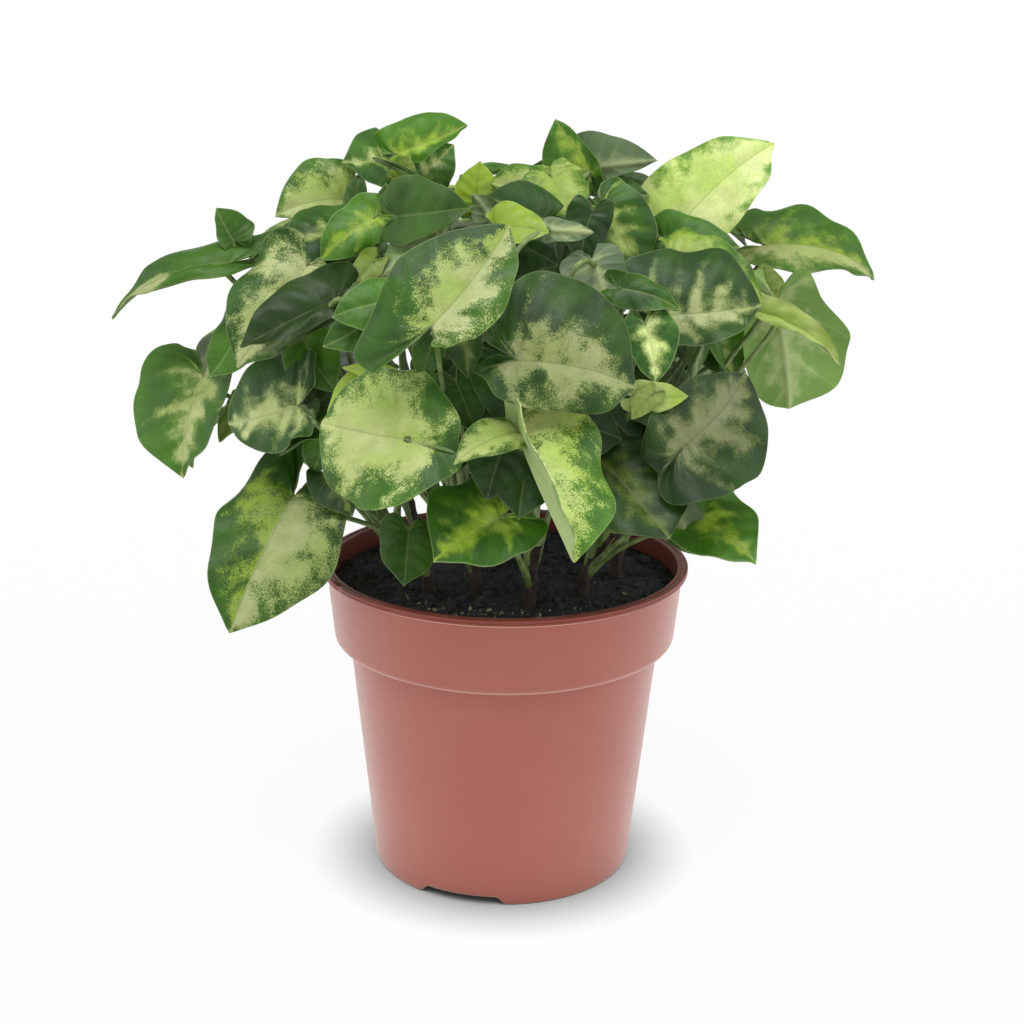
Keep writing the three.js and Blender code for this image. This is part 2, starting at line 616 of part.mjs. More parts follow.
const plastic = new THREE.MeshStandardMaterial({ color: 0xa8685c, roughness: 0.45, metalness: 0 });
const peat = new THREE.MeshStandardMaterial({ color: 0x2b211d, roughness: 0.95, metalness: 0 });
const leafGreen = new THREE.MeshStandardMaterial({ color: 0x5f8a3c, roughness: 0.4, metalness: 0 });

const plant = new THREE.Group();

function addPiece(name, geometry, material) {
  const mesh = new THREE.Mesh(geometry, material.clone());
  mesh.name = name;
  plant.add(mesh);
}

addPiece('pot', pot(), plastic);
addPiece('soil', soil(), peat);
STEMS.forEach((stem) => addPiece(stem.name, leafyStem(stem), leafGreen));

export default plant;
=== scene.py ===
# %% [markdown]
# # A variegated arrowhead plant in its nursery pot
#
# An arrowhead plant (Syngonium) is a young climber that is sold as a bushy pot plant. Thirteen
# short stems stand in dark peat, and each carries a fan of heart-shaped leaves on long thin
# stalks, called petioles. The leaves are splashed with cream and lime, and no two are alike.
#
# This lesson dresses a plain solid model, the frame, with fine surfaces. The frame says where
# each leaf, stem and wall is, so every piece made here is placed from the same few sizes.

# %% Load the frame
import math

import bpy
import numpy as np
from mathutils import Matrix, Vector, noise


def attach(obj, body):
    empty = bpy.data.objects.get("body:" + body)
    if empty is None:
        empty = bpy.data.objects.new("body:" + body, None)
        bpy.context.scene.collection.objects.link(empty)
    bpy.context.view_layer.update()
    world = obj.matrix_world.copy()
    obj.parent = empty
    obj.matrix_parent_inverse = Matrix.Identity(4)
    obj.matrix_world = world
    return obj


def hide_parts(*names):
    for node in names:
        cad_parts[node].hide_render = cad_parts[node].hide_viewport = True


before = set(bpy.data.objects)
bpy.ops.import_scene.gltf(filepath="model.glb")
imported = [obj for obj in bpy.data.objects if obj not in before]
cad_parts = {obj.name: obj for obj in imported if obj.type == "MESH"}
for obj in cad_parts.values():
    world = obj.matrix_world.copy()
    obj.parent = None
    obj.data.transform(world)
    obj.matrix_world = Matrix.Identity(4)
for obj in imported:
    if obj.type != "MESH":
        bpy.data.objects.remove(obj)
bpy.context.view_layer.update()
print("the frame holds", len(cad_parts), "solids")

# %% [markdown]
# ## Units and colours
#
# A plant like this is measured in millimetres, and Blender works in metres, so lengths are
# written in millimetres and turned at the last moment. Colours are given as hex values,
# which are sRGB. Blender's shaders want linear light, so one function turns them.

# %% Units, colours and repeatable chance
MM = 0.001
TURN = 2 * math.pi
chance = np.random.default_rng(7)


def linear(hex_colour):
    """A hex sRGB colour as linear red, green, blue and alpha."""
    values = [int(hex_colour[i:i + 2], 16) / 255 for i in (1, 3, 5)]
    return [v / 12.92 if v <= 0.04045 else ((v + 0.055) / 1.055) ** 2.4 for v in values] + [1]


print("terracotta in linear light:", [round(v, 3) for v in linear("#a8685c")])

# %% [markdown]
# ## The camera
#
# The plant is seen from a little above the rim, so that the dark soil shows as an ellipse under
# the leaves. A lens of 65 mm at 60 cm keeps the pot's sides almost straight. The picture leans
# by less than one degree, as a hand-held one does.

# %% Place the camera
CAMERA_DISTANCE = 600
CAMERA_HEIGHT_ANGLE = 16.5
CAMERA_LEAN = 0.71
CAMERA_LENS = 64.6
AIM = Vector((2.1, 0, 119.6))

lens = bpy.data.cameras.new("lens")
lens.lens = CAMERA_LENS
camera = bpy.data.objects.new("camera", lens)
bpy.context.scene.collection.objects.link(camera)
angle = math.radians(CAMERA_HEIGHT_ANGLE)
away = Vector((0, -math.cos(angle), math.sin(angle)))
look = (-away).to_track_quat("-Z", "Y").to_matrix().to_4x4()
lean = Matrix.Rotation(math.radians(CAMERA_LEAN), 4, "Z")
camera.matrix_world = Matrix.Translation((AIM + away * CAMERA_DISTANCE) * MM) @ look @ lean
bpy.context.scene.camera = camera
print("the camera stands", CAMERA_DISTANCE, "mm from the point it looks at")

# %% [markdown]
# ## Two helpers: one for meshes, one for shader nodes
#
# Every piece here is a list of points and faces worked out by a formula, so one function turns
# such lists into an object. It shades the faces smoothly, rides on the plant's one body and
# takes its place in the frame. Named values on the points, called attributes, let a shader know
# where on the leaf it is.


# %% Make a piece from points and faces
def make_piece(name, points, faces, materials, face_materials=None, values=None):
    """An object from points in millimetres. values maps an attribute's name to its rows."""
    mesh = bpy.data.meshes.new(name)
    mesh.from_pydata((np.asarray(points, float) * MM).tolist(), [], faces)
    for material in materials:
        mesh.materials.append(material)
    if face_materials is not None:
        mesh.polygons.foreach_set("material_index", np.asarray(face_materials, np.int32))
    for key, rows in (values or {}).items():
        layer = mesh.attributes.new(key, "FLOAT_VECTOR", "POINT")
        layer.data.foreach_set("vector", np.asarray(rows, np.float32).ravel())
    mesh.shade_smooth()
    mesh.update()
    piece = bpy.data.objects.new(name, mesh)
    bpy.context.scene.collection.objects.link(piece)
    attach(piece, "root")
    return piece


print("a piece is made in one call, from points in millimetres")


# %% Add a shader node
def add(material, kind, inputs=None, **settings):
    """A node of that kind with its settings, and its inputs set to values or linked to outputs."""
    made = material.node_tree.nodes.new("ShaderNode" + kind)
    for key, value in settings.items():
        setattr(made, key, value)
    for key, value in (inputs or {}).items():
        if isinstance(value, bpy.types.NodeSocket):
            material.node_tree.links.new(value, made.inputs[key])
        else:
            made.inputs[key].default_value = value
    return made


def new_material(name):
    """An empty material and its output node."""
    material = bpy.data.materials.new(name)
    material.use_nodes = True
    material.node_tree.nodes.clear()
    return material, add(material, "OutputMaterial")


print("nodes are added by one function")

# %% [markdown]
# ## The pot's plastic
#
# A nursery pot is polypropylene with a terracotta pigment, injection moulded in a polished
# steel tool. It is satin, not glossy: the light slides over it in broad soft bands, and towards
# its edges it looks paler and pinker, as waxy plastics do, which a pinkish sheen gives. The IOR
# of polypropylene is 1.49. The colour drifts slightly over centimetres where pigment and melt
# mixed unevenly. Handling leaves a few dark specks, and fine scuffs that show in the gloss.
#
# One pot has three tints of it: the plain terracotta outside; a darker tint on the lip and the
# inner wall, which inside the pot is painted shade; and a pale tint in thin lines under the lip
# and under the band, which is a painted highlight.

# %% Polypropylene, satin, terracotta
DUST = linear("#5a3026")
PIGMENT_DRIFT_MM = 35
SCUFF_MM = 1.6
SCUFF_DEPTH_MM = 0.02
DUST_MM = 9


def polypropylene(name, pigment, pigment_pale, haze):
    """Satin moulded plastic between two tints. haze is how pale it looks at a glancing angle."""
    made, out = new_material(name)
    where = add(made, "TexCoord").outputs["Object"]
    drift = add(made, "TexNoise", {
        "Vector": where, "Scale": 1 / (PIGMENT_DRIFT_MM * MM), "Detail": 3})
    specks = add(made, "TexVoronoi", {"Vector": where, "Scale": 1 / (DUST_MM * MM)})
    speck = add(made, "MapRange", {
        "Value": specks.outputs["Distance"], "From Min": 0.02, "From Max": 0.035,
        "To Min": 0.75, "To Max": 0})
    scuffs = add(made, "TexNoise", {"Vector": where, "Scale": 1 / (SCUFF_MM * MM), "Detail": 6})
    tint = add(made, "Mix", {
        0: drift.outputs[0], 6: linear(pigment), 7: linear(pigment_pale)}, data_type="RGBA")
    dusty = add(made, "Mix", {0: speck.outputs[0], 6: tint.outputs[2], 7: DUST}, data_type="RGBA")
    gloss = add(made, "MapRange", {
        "Value": scuffs.outputs[0], "From Min": 0.3, "From Max": 0.7,
        "To Min": 0.34, "To Max": 0.44})
    ripple = add(made, "Bump", {
        "Height": scuffs.outputs[0], "Distance": SCUFF_DEPTH_MM * MM, "Strength": 0.35})
    plastic = add(made, "BsdfPrincipled", {
        "Base Color": dusty.outputs[2], "Roughness": gloss.outputs[0], "Normal": ripple.outputs[0],
        "IOR": 1.49, "Sheen Weight": haze, "Sheen Roughness": 0.4, "Sheen Tint": linear("#ffe9e4")})
    made.node_tree.links.new(plastic.outputs[0], out.inputs[0])
    return made


outer_plastic = polypropylene("polypropylene_terracotta", "#994f41", "#a35b4c", 0.9)
# A darker tint for the lip and the inner wall; on the inner wall it is painted shade.
dark_lip_and_shaded_inside = polypropylene("polypropylene_dark_lip_painted_shade_inside", "#7d3426", "#86392b", 0.1)
# A pale tint for thin lines under the lip and the band: a painted highlight.
highlight_plastic = polypropylene("polypropylene_painted_highlight", "#bd8373", "#c99383", 0.5)
print("three tints of one plastic")

# %% [markdown]
# ## The pot
#
# The pot is a turned shape: a tapered body, a step out to a wider band that a hand can grip,
# and a lip that stiffens the mouth. Its wall is 1.2 mm thick. A lathe would do, but the foot
# has three wide cut-outs that let water run off, so the rings near the foot are lifted where a
# cut-out is. Each corner is a small arc, because moulded plastic has no sharp ones. One knock
# has dented the lip a little, as happens in a nursery.

# %% Sizes of the pot
POT_HEIGHT = 103.4
LIP_RADIUS = 60
BAND_TOP_RADIUS = 58.3
BAND_FOOT_RADIUS = 56
BAND_FOOT_Z = 78.5
BODY_TOP_RADIUS = 51.1
FOOT_RADIUS = 43
LIP_HEIGHT = 2
STEP_SLOPE = 1.4
WALL = 1.2
FOOT_RING = 2
BASE_Z = 3
BASE_THICKNESS = 1.6
NOTCH_ANGLES = (-18, 102, 222)
NOTCH_ARC = 36
NOTCH_HEIGHT = 2.8
NOTCH_SLOPE_ARC = 5
NICK_ANGLE = -62
NICK_ARC = 1.6
NICK_DEPTH = 0.8
POT_SIDES = 240
ARC_STEPS = 5
print("the pot is", POT_HEIGHT, "mm tall and", 2 * LIP_RADIUS, "mm wide")


# %% Round the corners of a profile
def rounded(corners, steps=ARC_STEPS):
    """A profile whose inner corners (radius, z, rounding) become arcs of a few points."""
    points = [np.array(corners[0][:2], float)]
    for before, corner, after in zip(corners, corners[1:], corners[2:]):
        here = np.array(corner[:2], float)
        into = np.array(before[:2], float) - here
        out = np.array(after[:2], float) - here
        reach = min(corner[2], 0.45 * np.linalg.norm(into), 0.45 * np.linalg.norm(out))
        start = here + into / np.linalg.norm(into) * reach
        end = here + out / np.linalg.norm(out) * reach
        for share in np.linspace(0, 1, steps):
            points.append(
                (1 - share) ** 2 * start + 2 * (1 - share) * share * here + share ** 2 * end)
    points.append(np.array(corners[-1][:2], float))
    return np.array(points)


def body_inside(z):
    """Inner radius of the body's wall at a height."""
    return FOOT_RADIUS + (BODY_TOP_RADIUS - FOOT_RADIUS) * z / BAND_FOOT_Z - WALL


def band_inside(z):
    """Inner radius of the band's wall at a height."""
    share = (z - BAND_FOOT_Z) / (POT_HEIGHT - BAND_FOOT_Z)
    return BAND_FOOT_RADIUS + (BAND_TOP_RADIUS - BAND_FOOT_RADIUS) * share - WALL


print("inside, the mouth is", round(2 * band_inside(POT_HEIGHT), 1), "mm wide")

# %% The pot's profile, from under the base round the lip to the floor inside
base_top = BASE_Z + BASE_THICKNESS
ledge = BAND_FOOT_Z + WALL
lip_foot = POT_HEIGHT - LIP_HEIGHT
SEAM_Z = BAND_FOOT_Z - STEP_SLOPE - 0.5
pot_profile = rounded([
    # the base plate, seen from below, and the foot ring
    (0.5, BASE_Z, 0),
    (FOOT_RADIUS - FOOT_RING - 0.6, BASE_Z, 0.5),
    (FOOT_RADIUS - FOOT_RING, 0, 0.5),
    (FOOT_RADIUS - 0.1, 0, 0.9),
    # the body, and the small bead under the band that carries a painted highlight
    (FOOT_RADIUS + 0.6, 6, 3),
    (BODY_TOP_RADIUS - 0.15, BAND_FOOT_Z - STEP_SLOPE - 1.0, 0.8),
    (BODY_TOP_RADIUS + 0.3, BAND_FOOT_Z - STEP_SLOPE - 0.75, 0.15),
    (BODY_TOP_RADIUS + 0.45, BAND_FOOT_Z - STEP_SLOPE - 0.25, 0.15),
    (BODY_TOP_RADIUS + 0.5, BAND_FOOT_Z - STEP_SLOPE, 0.1),
    # the band, and the lip with a fine groove round it
    (BAND_FOOT_RADIUS - 0.1, BAND_FOOT_Z - 0.5, 2.4),
    (BAND_TOP_RADIUS, lip_foot - 0.3, 0.9),
    (LIP_RADIUS - 0.1, lip_foot + 0.1, 0.5),
    (LIP_RADIUS, lip_foot + 0.75, 0.15),
    (LIP_RADIUS - 0.25, lip_foot + 0.95, 0.1),
    (LIP_RADIUS, lip_foot + 1.15, 0.15),
    (LIP_RADIUS, POT_HEIGHT, 0.6),
    # the top of the lip, with a second groove, and the way down inside
    (LIP_RADIUS - 1.3, POT_HEIGHT, 0.3),
    (LIP_RADIUS - 1.7, POT_HEIGHT - 0.5, 0.3),
    (LIP_RADIUS - 2.3, POT_HEIGHT - 0.1, 0.3),
    (BAND_TOP_RADIUS - WALL - 0.4, POT_HEIGHT - 0.1, 0.6),
    (band_inside(ledge), ledge, 1),
    (body_inside(BAND_FOOT_Z), BAND_FOOT_Z, 1),
    (body_inside(base_top), base_top, 1.5),
    (0.5, base_top, 0),
])
print("the profile has", len(pot_profile), "points")


# %% Lift the foot at its cut-outs and dent the lip
def notch_lift(around):
    """How far the foot's edge is lifted at an angle in degrees from the front towards +X."""
    lift = 0
    for middle in NOTCH_ANGLES:
        off = abs((around - middle + 180) % 360 - 180)
        share = min(1, max(0, (NOTCH_ARC / 2 + NOTCH_SLOPE_ARC / 2 - off) / NOTCH_SLOPE_ARC))
        lift = max(lift, NOTCH_HEIGHT * share * share * (3 - 2 * share))
    return lift


def nick(around, radius, z):
    """How far the lip is dented at a place: one knock, a few millimetres long."""
    if radius <= BAND_TOP_RADIUS or z <= lip_foot:
        return 0
    off = (around - NICK_ANGLE + 180) % 360 - 180
    return NICK_DEPTH * math.exp(-(off / NICK_ARC) ** 2)


print("at a cut-out the foot is", notch_lift(NOTCH_ANGLES[0]), "mm off the floor")


# %% Which tint goes where
def tint_of(radius, z):
    """0 outside, 1 on lip and inner wall, painted shade inside, 2 on painted highlights under lip and
    band.
    """
    inner = band_inside(z) if z > BAND_FOOT_Z else body_inside(z)
    if z > lip_foot + 0.2 or z > base_top and radius < inner + 0.3:
        return 1
    under_band = abs(z - SEAM_Z) < 0.35 and radius < BODY_TOP_RADIUS + 0.55
    under_lip = z > lip_foot - 0.75
    return 2 if under_band or under_lip else 0


print("the tints are", sorted({tint_of(radius, z) for radius, z in pot_profile}))


# %% Turn a profile round
def turned(profile, sides, lift):
    """Points and quads of a turned shape that starts and ends near the axis, closed there."""
    points = []
    for step in range(sides):
        around = 360 * step / sides
        raised = lift(around)
        for radius, z in profile:
            height = raised + z * (1 - raised / BASE_Z) if z < BASE_Z else z
            direction = math.radians(around)
            dent = nick(around, radius, z)
            out = radius - dent
            points.append((out * math.sin(direction), -out * math.cos(direction), height - dent))
    rows = len(profile)
    faces = []
    for step in range(sides):
        here, there = step * rows, (step + 1) % sides * rows
        for row in range(rows - 1):
            faces.append((here + row, there + row, there + row + 1, here + row + 1))
    faces.append([step * rows for step in reversed(range(sides))])
    faces.append([step * rows + rows - 1 for step in range(sides)])
    return points, faces


pot_points, pot_faces = turned(pot_profile, POT_SIDES, notch_lift)
print("turned", POT_SIDES, "times", len(pot_profile), "points")

# %% Turn the pot
tints = [tint_of(*((a + b) / 2)) for a, b in zip(pot_profile, pot_profile[1:])]
plastics = [outer_plastic, dark_lip_and_shaded_inside, highlight_plastic]
pot = make_piece("nursery_pot", pot_points, pot_faces, plastics,
                 tints * POT_SIDES + [0, 1])
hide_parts("pot")
print("the pot has", len(pot_faces), "faces and is", POT_HEIGHT, "mm tall")

# %% [markdown]
# ### Drain holes
#
# Six round holes go through the base: one in the middle and five round it. A Boolean cut is the
# simple way, because the holes are plain and the base is flat, and it is applied at once so
# that the mesh is final.

# %% A drill with one bit for each hole
DRAIN_RADIUS = 4
DRAIN_CIRCLE = 24
DRAIN_HOLES = 5
DRAIN_SIDES = 32

drill_points, drill_faces = [], []
centres = [(0, 0)]
for hole in range(DRAIN_HOLES):
    direction = TURN * hole / DRAIN_HOLES
    centres.append((DRAIN_CIRCLE * math.cos(direction), DRAIN_CIRCLE * math.sin(direction)))
for x, y in centres:
    low = len(drill_points)
    high = low + DRAIN_SIDES
    for z in (0, 2 * base_top):
        for side in range(DRAIN_SIDES):
            direction = TURN * side / DRAIN_SIDES
            out, aside = DRAIN_RADIUS * math.cos(direction), DRAIN_RADIUS * math.sin(direction)
            drill_points.append((x + out, y + aside, z))
    for side in range(DRAIN_SIDES):
        other = (side + 1) % DRAIN_SIDES
        drill_faces.append((low + side, low + other, high + other, high + side))
    drill_faces.append([low + side for side in reversed(range(DRAIN_SIDES))])
    drill_faces.append([high + side for side in range(DRAIN_SIDES)])
print("the drill has", len(centres), "bits")

# %% Cut with it
SHARP_POT = 50

drill = make_piece("drain_drill", drill_points, drill_faces, [dark_lip_and_shaded_inside])
cut = pot.modifiers.new("drain", "BOOLEAN")
cut.object = drill
cut.operation = "DIFFERENCE"
cut.solver = "EXACT"
with bpy.context.temp_override(object=pot, active_object=pot, selected_objects=[pot]):
    bpy.ops.object.modifier_apply(modifier="drain")
bpy.data.objects.remove(drill)
pot.data.shade_smooth()
pot.data.set_sharp_from_angle(angle=math.radians(SHARP_POT))
print("drained, the pot has", len(pot.data.polygons), "faces")

# %% [markdown]
# ## Peat
#
# Growers use black peat with a little fibre and some pale grit. It is the darkest thing here,
# almost without gloss, and what the eye reads is its crumb: lumps from half a millimetre to four
# millimetres with deep shadow between them. Damp peat keeps a weak shine, so its roughness is
# 0.85 and not 1. Old fibres and coir are warm brown, and grit is grey and cream.

# %% Damp peat
PEAT = linear("#33353a")
PEAT_WARM = linear("#4b4a4a")
CRUMB_MM = 2.2
CRUMB_RELIEF_MM = 0.6
GRAIN_RELIEF_MM = 0.15

peat, output = new_material("damp_peat")
place = add(peat, "TexCoord").outputs["Object"]
crumb = add(peat, "TexNoise", {
    "Vector": place, "Scale": 1 / (CRUMB_MM * MM), "Detail": 6, "Roughness": 0.65})
warm = add(peat, "MapRange", {"Value": crumb.outputs[0], "From Min": 0.45, "From Max": 0.75})
colour = add(peat, "Mix", {0: warm.outputs[0], 6: PEAT, 7: PEAT_WARM}, data_type="RGBA")
relief = add(peat, "Bump", {
    "Height": crumb.outputs[0], "Distance": CRUMB_RELIEF_MM * MM, "Strength": 0.8})
surface = add(peat, "BsdfPrincipled", {
    "Base Color": colour.outputs[2], "Roughness": 0.85, "IOR": 1.45, "Normal": relief.outputs[0]})
peat.node_tree.links.new(surface.outputs[0], output.inputs[0])
print("damp peat has", len(peat.node_tree.nodes), "nodes")


# %% Earth of other kinds
def plain_earth(name, dark, light, grain_mm, rough):
    """A dull mineral or fibre whose colour drifts between two hex values."""
    made, out = new_material(name)
    where = add(made, "TexCoord").outputs["Object"]
    grain = add(made, "TexNoise", {"Vector": where, "Scale": 1 / (grain_mm * MM), "Detail": 4})
    tint = add(made, "Mix", {
        0: grain.outputs[0], 6: linear(dark), 7: linear(light)}, data_type="RGBA")
    bumps = add(made, "Bump", {"Height": grain.outputs[0], "Distance": GRAIN_RELIEF_MM * MM})
    body = add(made, "BsdfPrincipled", {
        "Base Color": tint.outputs[2], "Roughness": rough, "Normal": bumps.outputs[0]})
    made.node_tree.links.new(body.outputs[0], out.inputs[0])
    return made


fibre = plain_earth("coir_fibre", "#241f1b", "#4c4334", 3, 0.8)
grit = plain_earth("pale_grit", "#7d765f", "#bdb596", 1, 0.9)
print("fibre and grit are ready")

# %% [markdown]
# ## The soil
#
# The soil fills the pot to a few millimetres below its lip. Its side follows the wall, and its
# top is a field of heights: a low mound, soft lumps up to a centimetre and a half wide and
# crumbs on them. The lumps fade out beside the wall, so that the peat meets it evenly.
# Blender's own noise gives the heights, and the same place always gets the same height.

# %% Sizes of the soil
SOIL_Z = 98
SOIL_MOUND = 1.4
SOIL_CROWN = 1.6
LUMPS = ((16, 1.1), (5.5, 0.9), (2.2, 0.6))
LUMP_FADE_MM = 6
CLEARANCE = 0.3
SOIL_RINGS = 56
SOIL_SIDES = 160


def soil_height(x, y):
    """Height of the peat at a place, in millimetres."""
    where = Vector((x, y, 0))
    lumps = sum(noise.noise(where / size) * height for size, height in LUMPS)
    wall, out = band_inside(SOIL_Z), math.hypot(x, y)
    edge = min(1, max(0, (wall - out) / LUMP_FADE_MM))
    return SOIL_Z - SOIL_MOUND + SOIL_MOUND * SOIL_CROWN * (1 - (out / wall) ** 2) + lumps * edge


print("the middle of the peat is", round(soil_height(0, 0), 1), "mm up")

# %% Fill the pot
soil_floor = base_top + CLEARANCE
rim = band_inside(SOIL_Z) - CLEARANCE
side_profile = rounded([
    (0.5, soil_floor, 0),
    (body_inside(soil_floor) - 1.2, soil_floor, 1.5),
    (body_inside(BAND_FOOT_Z) - CLEARANCE, BAND_FOOT_Z - 1, 0.2),
    (body_inside(BAND_FOOT_Z) - CLEARANCE, ledge + CLEARANCE, 0.2),
    (band_inside(ledge) - CLEARANCE, ledge + CLEARANCE, 0.2),
    (rim, SOIL_Z - SOIL_MOUND, 0),
], 3)
soil_points, soil_faces = [], []
rings = [(r, z, False) for r, z in side_profile]
rings += [(rim * (1 - ring / SOIL_RINGS), 0, True) for ring in range(1, SOIL_RINGS)]
for radius, z, on_top in rings:
    for side in range(SOIL_SIDES):
        direction = TURN * side / SOIL_SIDES
        x, y = radius * math.cos(direction), radius * math.sin(direction)
        soil_points.append((x, y, soil_height(x, y) if on_top else z))
for ring in range(len(rings) - 1):
    for side in range(SOIL_SIDES):
        other = (side + 1) % SOIL_SIDES
        here, there = ring * SOIL_SIDES, (ring + 1) * SOIL_SIDES
        soil_faces.append((here + side, here + other, there + other, there + side))
soil_faces.append([side for side in reversed(range(SOIL_SIDES))])
soil_faces.append([(len(rings) - 1) * SOIL_SIDES + side for side in range(SOIL_SIDES)])
soil = make_piece("peat_soil", soil_points, soil_faces, [peat])
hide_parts("soil")
print("the soil's top has", SOIL_RINGS, "rings")

# %% [markdown]
# ### Crumbs, grit and fibres
#
# A bumpy surface still looks like one skin. Loose crumbs that cast small shadows make it earth.
# Each crumb is a rough ball of twenty faces, pushed about at random. Pale grit lies thinly, and
# mostly near the front where water has washed it, and brown fibres curl over the top.

# %% A rough crumb
GOLDEN = (1 + math.sqrt(5)) / 2
BALL_RADIUS = 1.9
BALL = [
    (-1, GOLDEN, 0), (1, GOLDEN, 0), (-1, -GOLDEN, 0), (1, -GOLDEN, 0),
    (0, -1, GOLDEN), (0, 1, GOLDEN), (0, -1, -GOLDEN), (0, 1, -GOLDEN),
    (GOLDEN, 0, -1), (GOLDEN, 0, 1), (-GOLDEN, 0, -1), (-GOLDEN, 0, 1)]
BALL_FACES = [
    (0, 11, 5), (0, 5, 1), (0, 1, 7), (0, 7, 10), (0, 10, 11), (1, 5, 9), (5, 11, 4),
    (11, 10, 2), (10, 7, 6), (7, 1, 8), (3, 9, 4), (3, 4, 2), (3, 2, 6), (3, 6, 8),
    (3, 8, 9), (4, 9, 5), (2, 4, 11), (6, 2, 10), (8, 6, 7), (9, 8, 1)]
CRUMB_RAISED = 0.12


def scatter(name, spot, count, smallest, largest, material):
    """One piece of many rough crumbs, mostly small ones. spot gives a random place for each."""
    points, faces = [], []
    for _ in range(count):
        x, y = spot()
        size = smallest + (largest - smallest) * chance.random() ** 3
        squash = chance.uniform(0.55, 1, 3)
        middle = np.array([x, y, soil_height(x, y) + size * CRUMB_RAISED])
        first = len(points)
        for corner in BALL:
            bumped = np.array(corner) / BALL_RADIUS * size / 2 * squash * chance.uniform(0.7, 1.25)
            points.append(middle + bumped)
        faces += [[first + corner for corner in face] for face in BALL_FACES]
    made = make_piece(name, points, faces, [material])
    made.data.shade_flat()
    return made


print("a crumb has", len(BALL_FACES), "faces")

# %% Random places on the soil
SOIL_MARGIN = 1.5
FRONT_GRIT_IN = 14
FRONT_GRIT_SPREAD = 3.5
FRONT_DIRECTION = (-100, 26)


def anywhere():
    """A place anywhere on the soil."""
    radius = (rim - SOIL_MARGIN) * math.sqrt(chance.random())
    direction = chance.uniform(0, TURN)
    return radius * math.cos(direction), radius * math.sin(direction)


def near_front():
    """A place in the front of the soil, just far enough from the wall to be seen over the lip."""
    radius = rim - FRONT_GRIT_IN - abs(chance.normal(0, FRONT_GRIT_SPREAD))
    direction = math.radians(chance.normal(*FRONT_DIRECTION))
    return radius * math.cos(direction), radius * math.sin(direction)


print("the soil's edge is at", round(rim, 1), "mm")

# %% Scatter crumbs and grit
crumbs = scatter("peat_crumbs", anywhere, count=1500, smallest=0.7, largest=4.2, material=peat)
front_grit = scatter("pale_grit_front", near_front, count=90, smallest=0.6, largest=2.2,
                     material=grit)
loose_grit = scatter("pale_grit_loose", anywhere, count=60, smallest=0.4, largest=1.0,
                     material=grit)
for made in (crumbs, front_grit, loose_grit):
    print(made.name, len(made.data.polygons) // len(BALL_FACES))


# %% [markdown]
# ### Fibres
#
# A fibre is a thin tube along a path that wanders over the peat. Stalks and stems are tubes too,
# so one function makes them all: a ring of points at each step, and quads between the rings.


# %% Tubes
def tube(path, radii, sides):
    """Points and quads of a closed tube along a path, with a radius for each step."""
    path = np.asarray(path, float)
    along = np.gradient(path, axis=0)
    along /= np.linalg.norm(along, axis=1, keepdims=True)
    side = np.array([0.0, 1.0, 0.0]) if abs(along[0][1]) < 0.9 else np.array([1.0, 0.0, 0.0])
    points, faces = [], []
    for here, ahead, radius in zip(path, along, radii):
        side = side - ahead * side.dot(ahead)
        side /= np.linalg.norm(side)
        other = np.cross(ahead, side)
        for step in range(sides):
            around = TURN * step / sides
            points.append(here + radius * (side * math.cos(around) + other * math.sin(around)))
    for row in range(len(path) - 1):
        for step in range(sides):
            after = (step + 1) % sides
            a, b = row * sides, (row + 1) * sides
            faces.append((a + step, a + after, b + after, b + step))
    faces.append([step for step in reversed(range(sides))])
    faces.append([(len(path) - 1) * sides + step for step in range(sides)])
    return points, faces


print("a tube of two rings of five has", len(tube([(0, 0, 0), (0, 0, 1)], (1, 1), 5)[1]), "faces")

# %% Curl the fibres over the peat
FIBRE_COUNT = 55
FIBRE_SIDES = 5
FIBRE_STEP_MM = 1.5
FIBRE_RAISED_MM = 0.25
FIBRE_MARGIN = 1.2
fibre_points, fibre_faces = [], []
for _ in range(FIBRE_COUNT):
    x, y = anywhere()
    heading = chance.uniform(0, TURN)
    bend = chance.normal(0, 0.35)
    lift = abs(chance.normal(0, 1.4))
    steps = int(chance.integers(7, 15))
    path = []
    for step in range(steps):
        if math.hypot(x, y) < rim - FIBRE_MARGIN:
            arch = math.sin(math.pi * step / (steps - 1))
            path.append((x, y, soil_height(x, y) + FIBRE_RAISED_MM + lift * arch))
        heading += bend + chance.normal(0, 0.12)
        x += FIBRE_STEP_MM * math.cos(heading)
        y += FIBRE_STEP_MM * math.sin(heading)
    if len(path) > 4:
        thickness = chance.uniform(0.1, 0.24)
        points, faces = tube(path, [thickness] * len(path), FIBRE_SIDES)
        fibre_faces += [[len(fibre_points) + corner for corner in face] for face in faces]
        fibre_points += points
fibres = make_piece("coir_fibres", fibre_points, fibre_faces, [fibre])
print("fibres have", len(fibres.data.polygons), "faces")
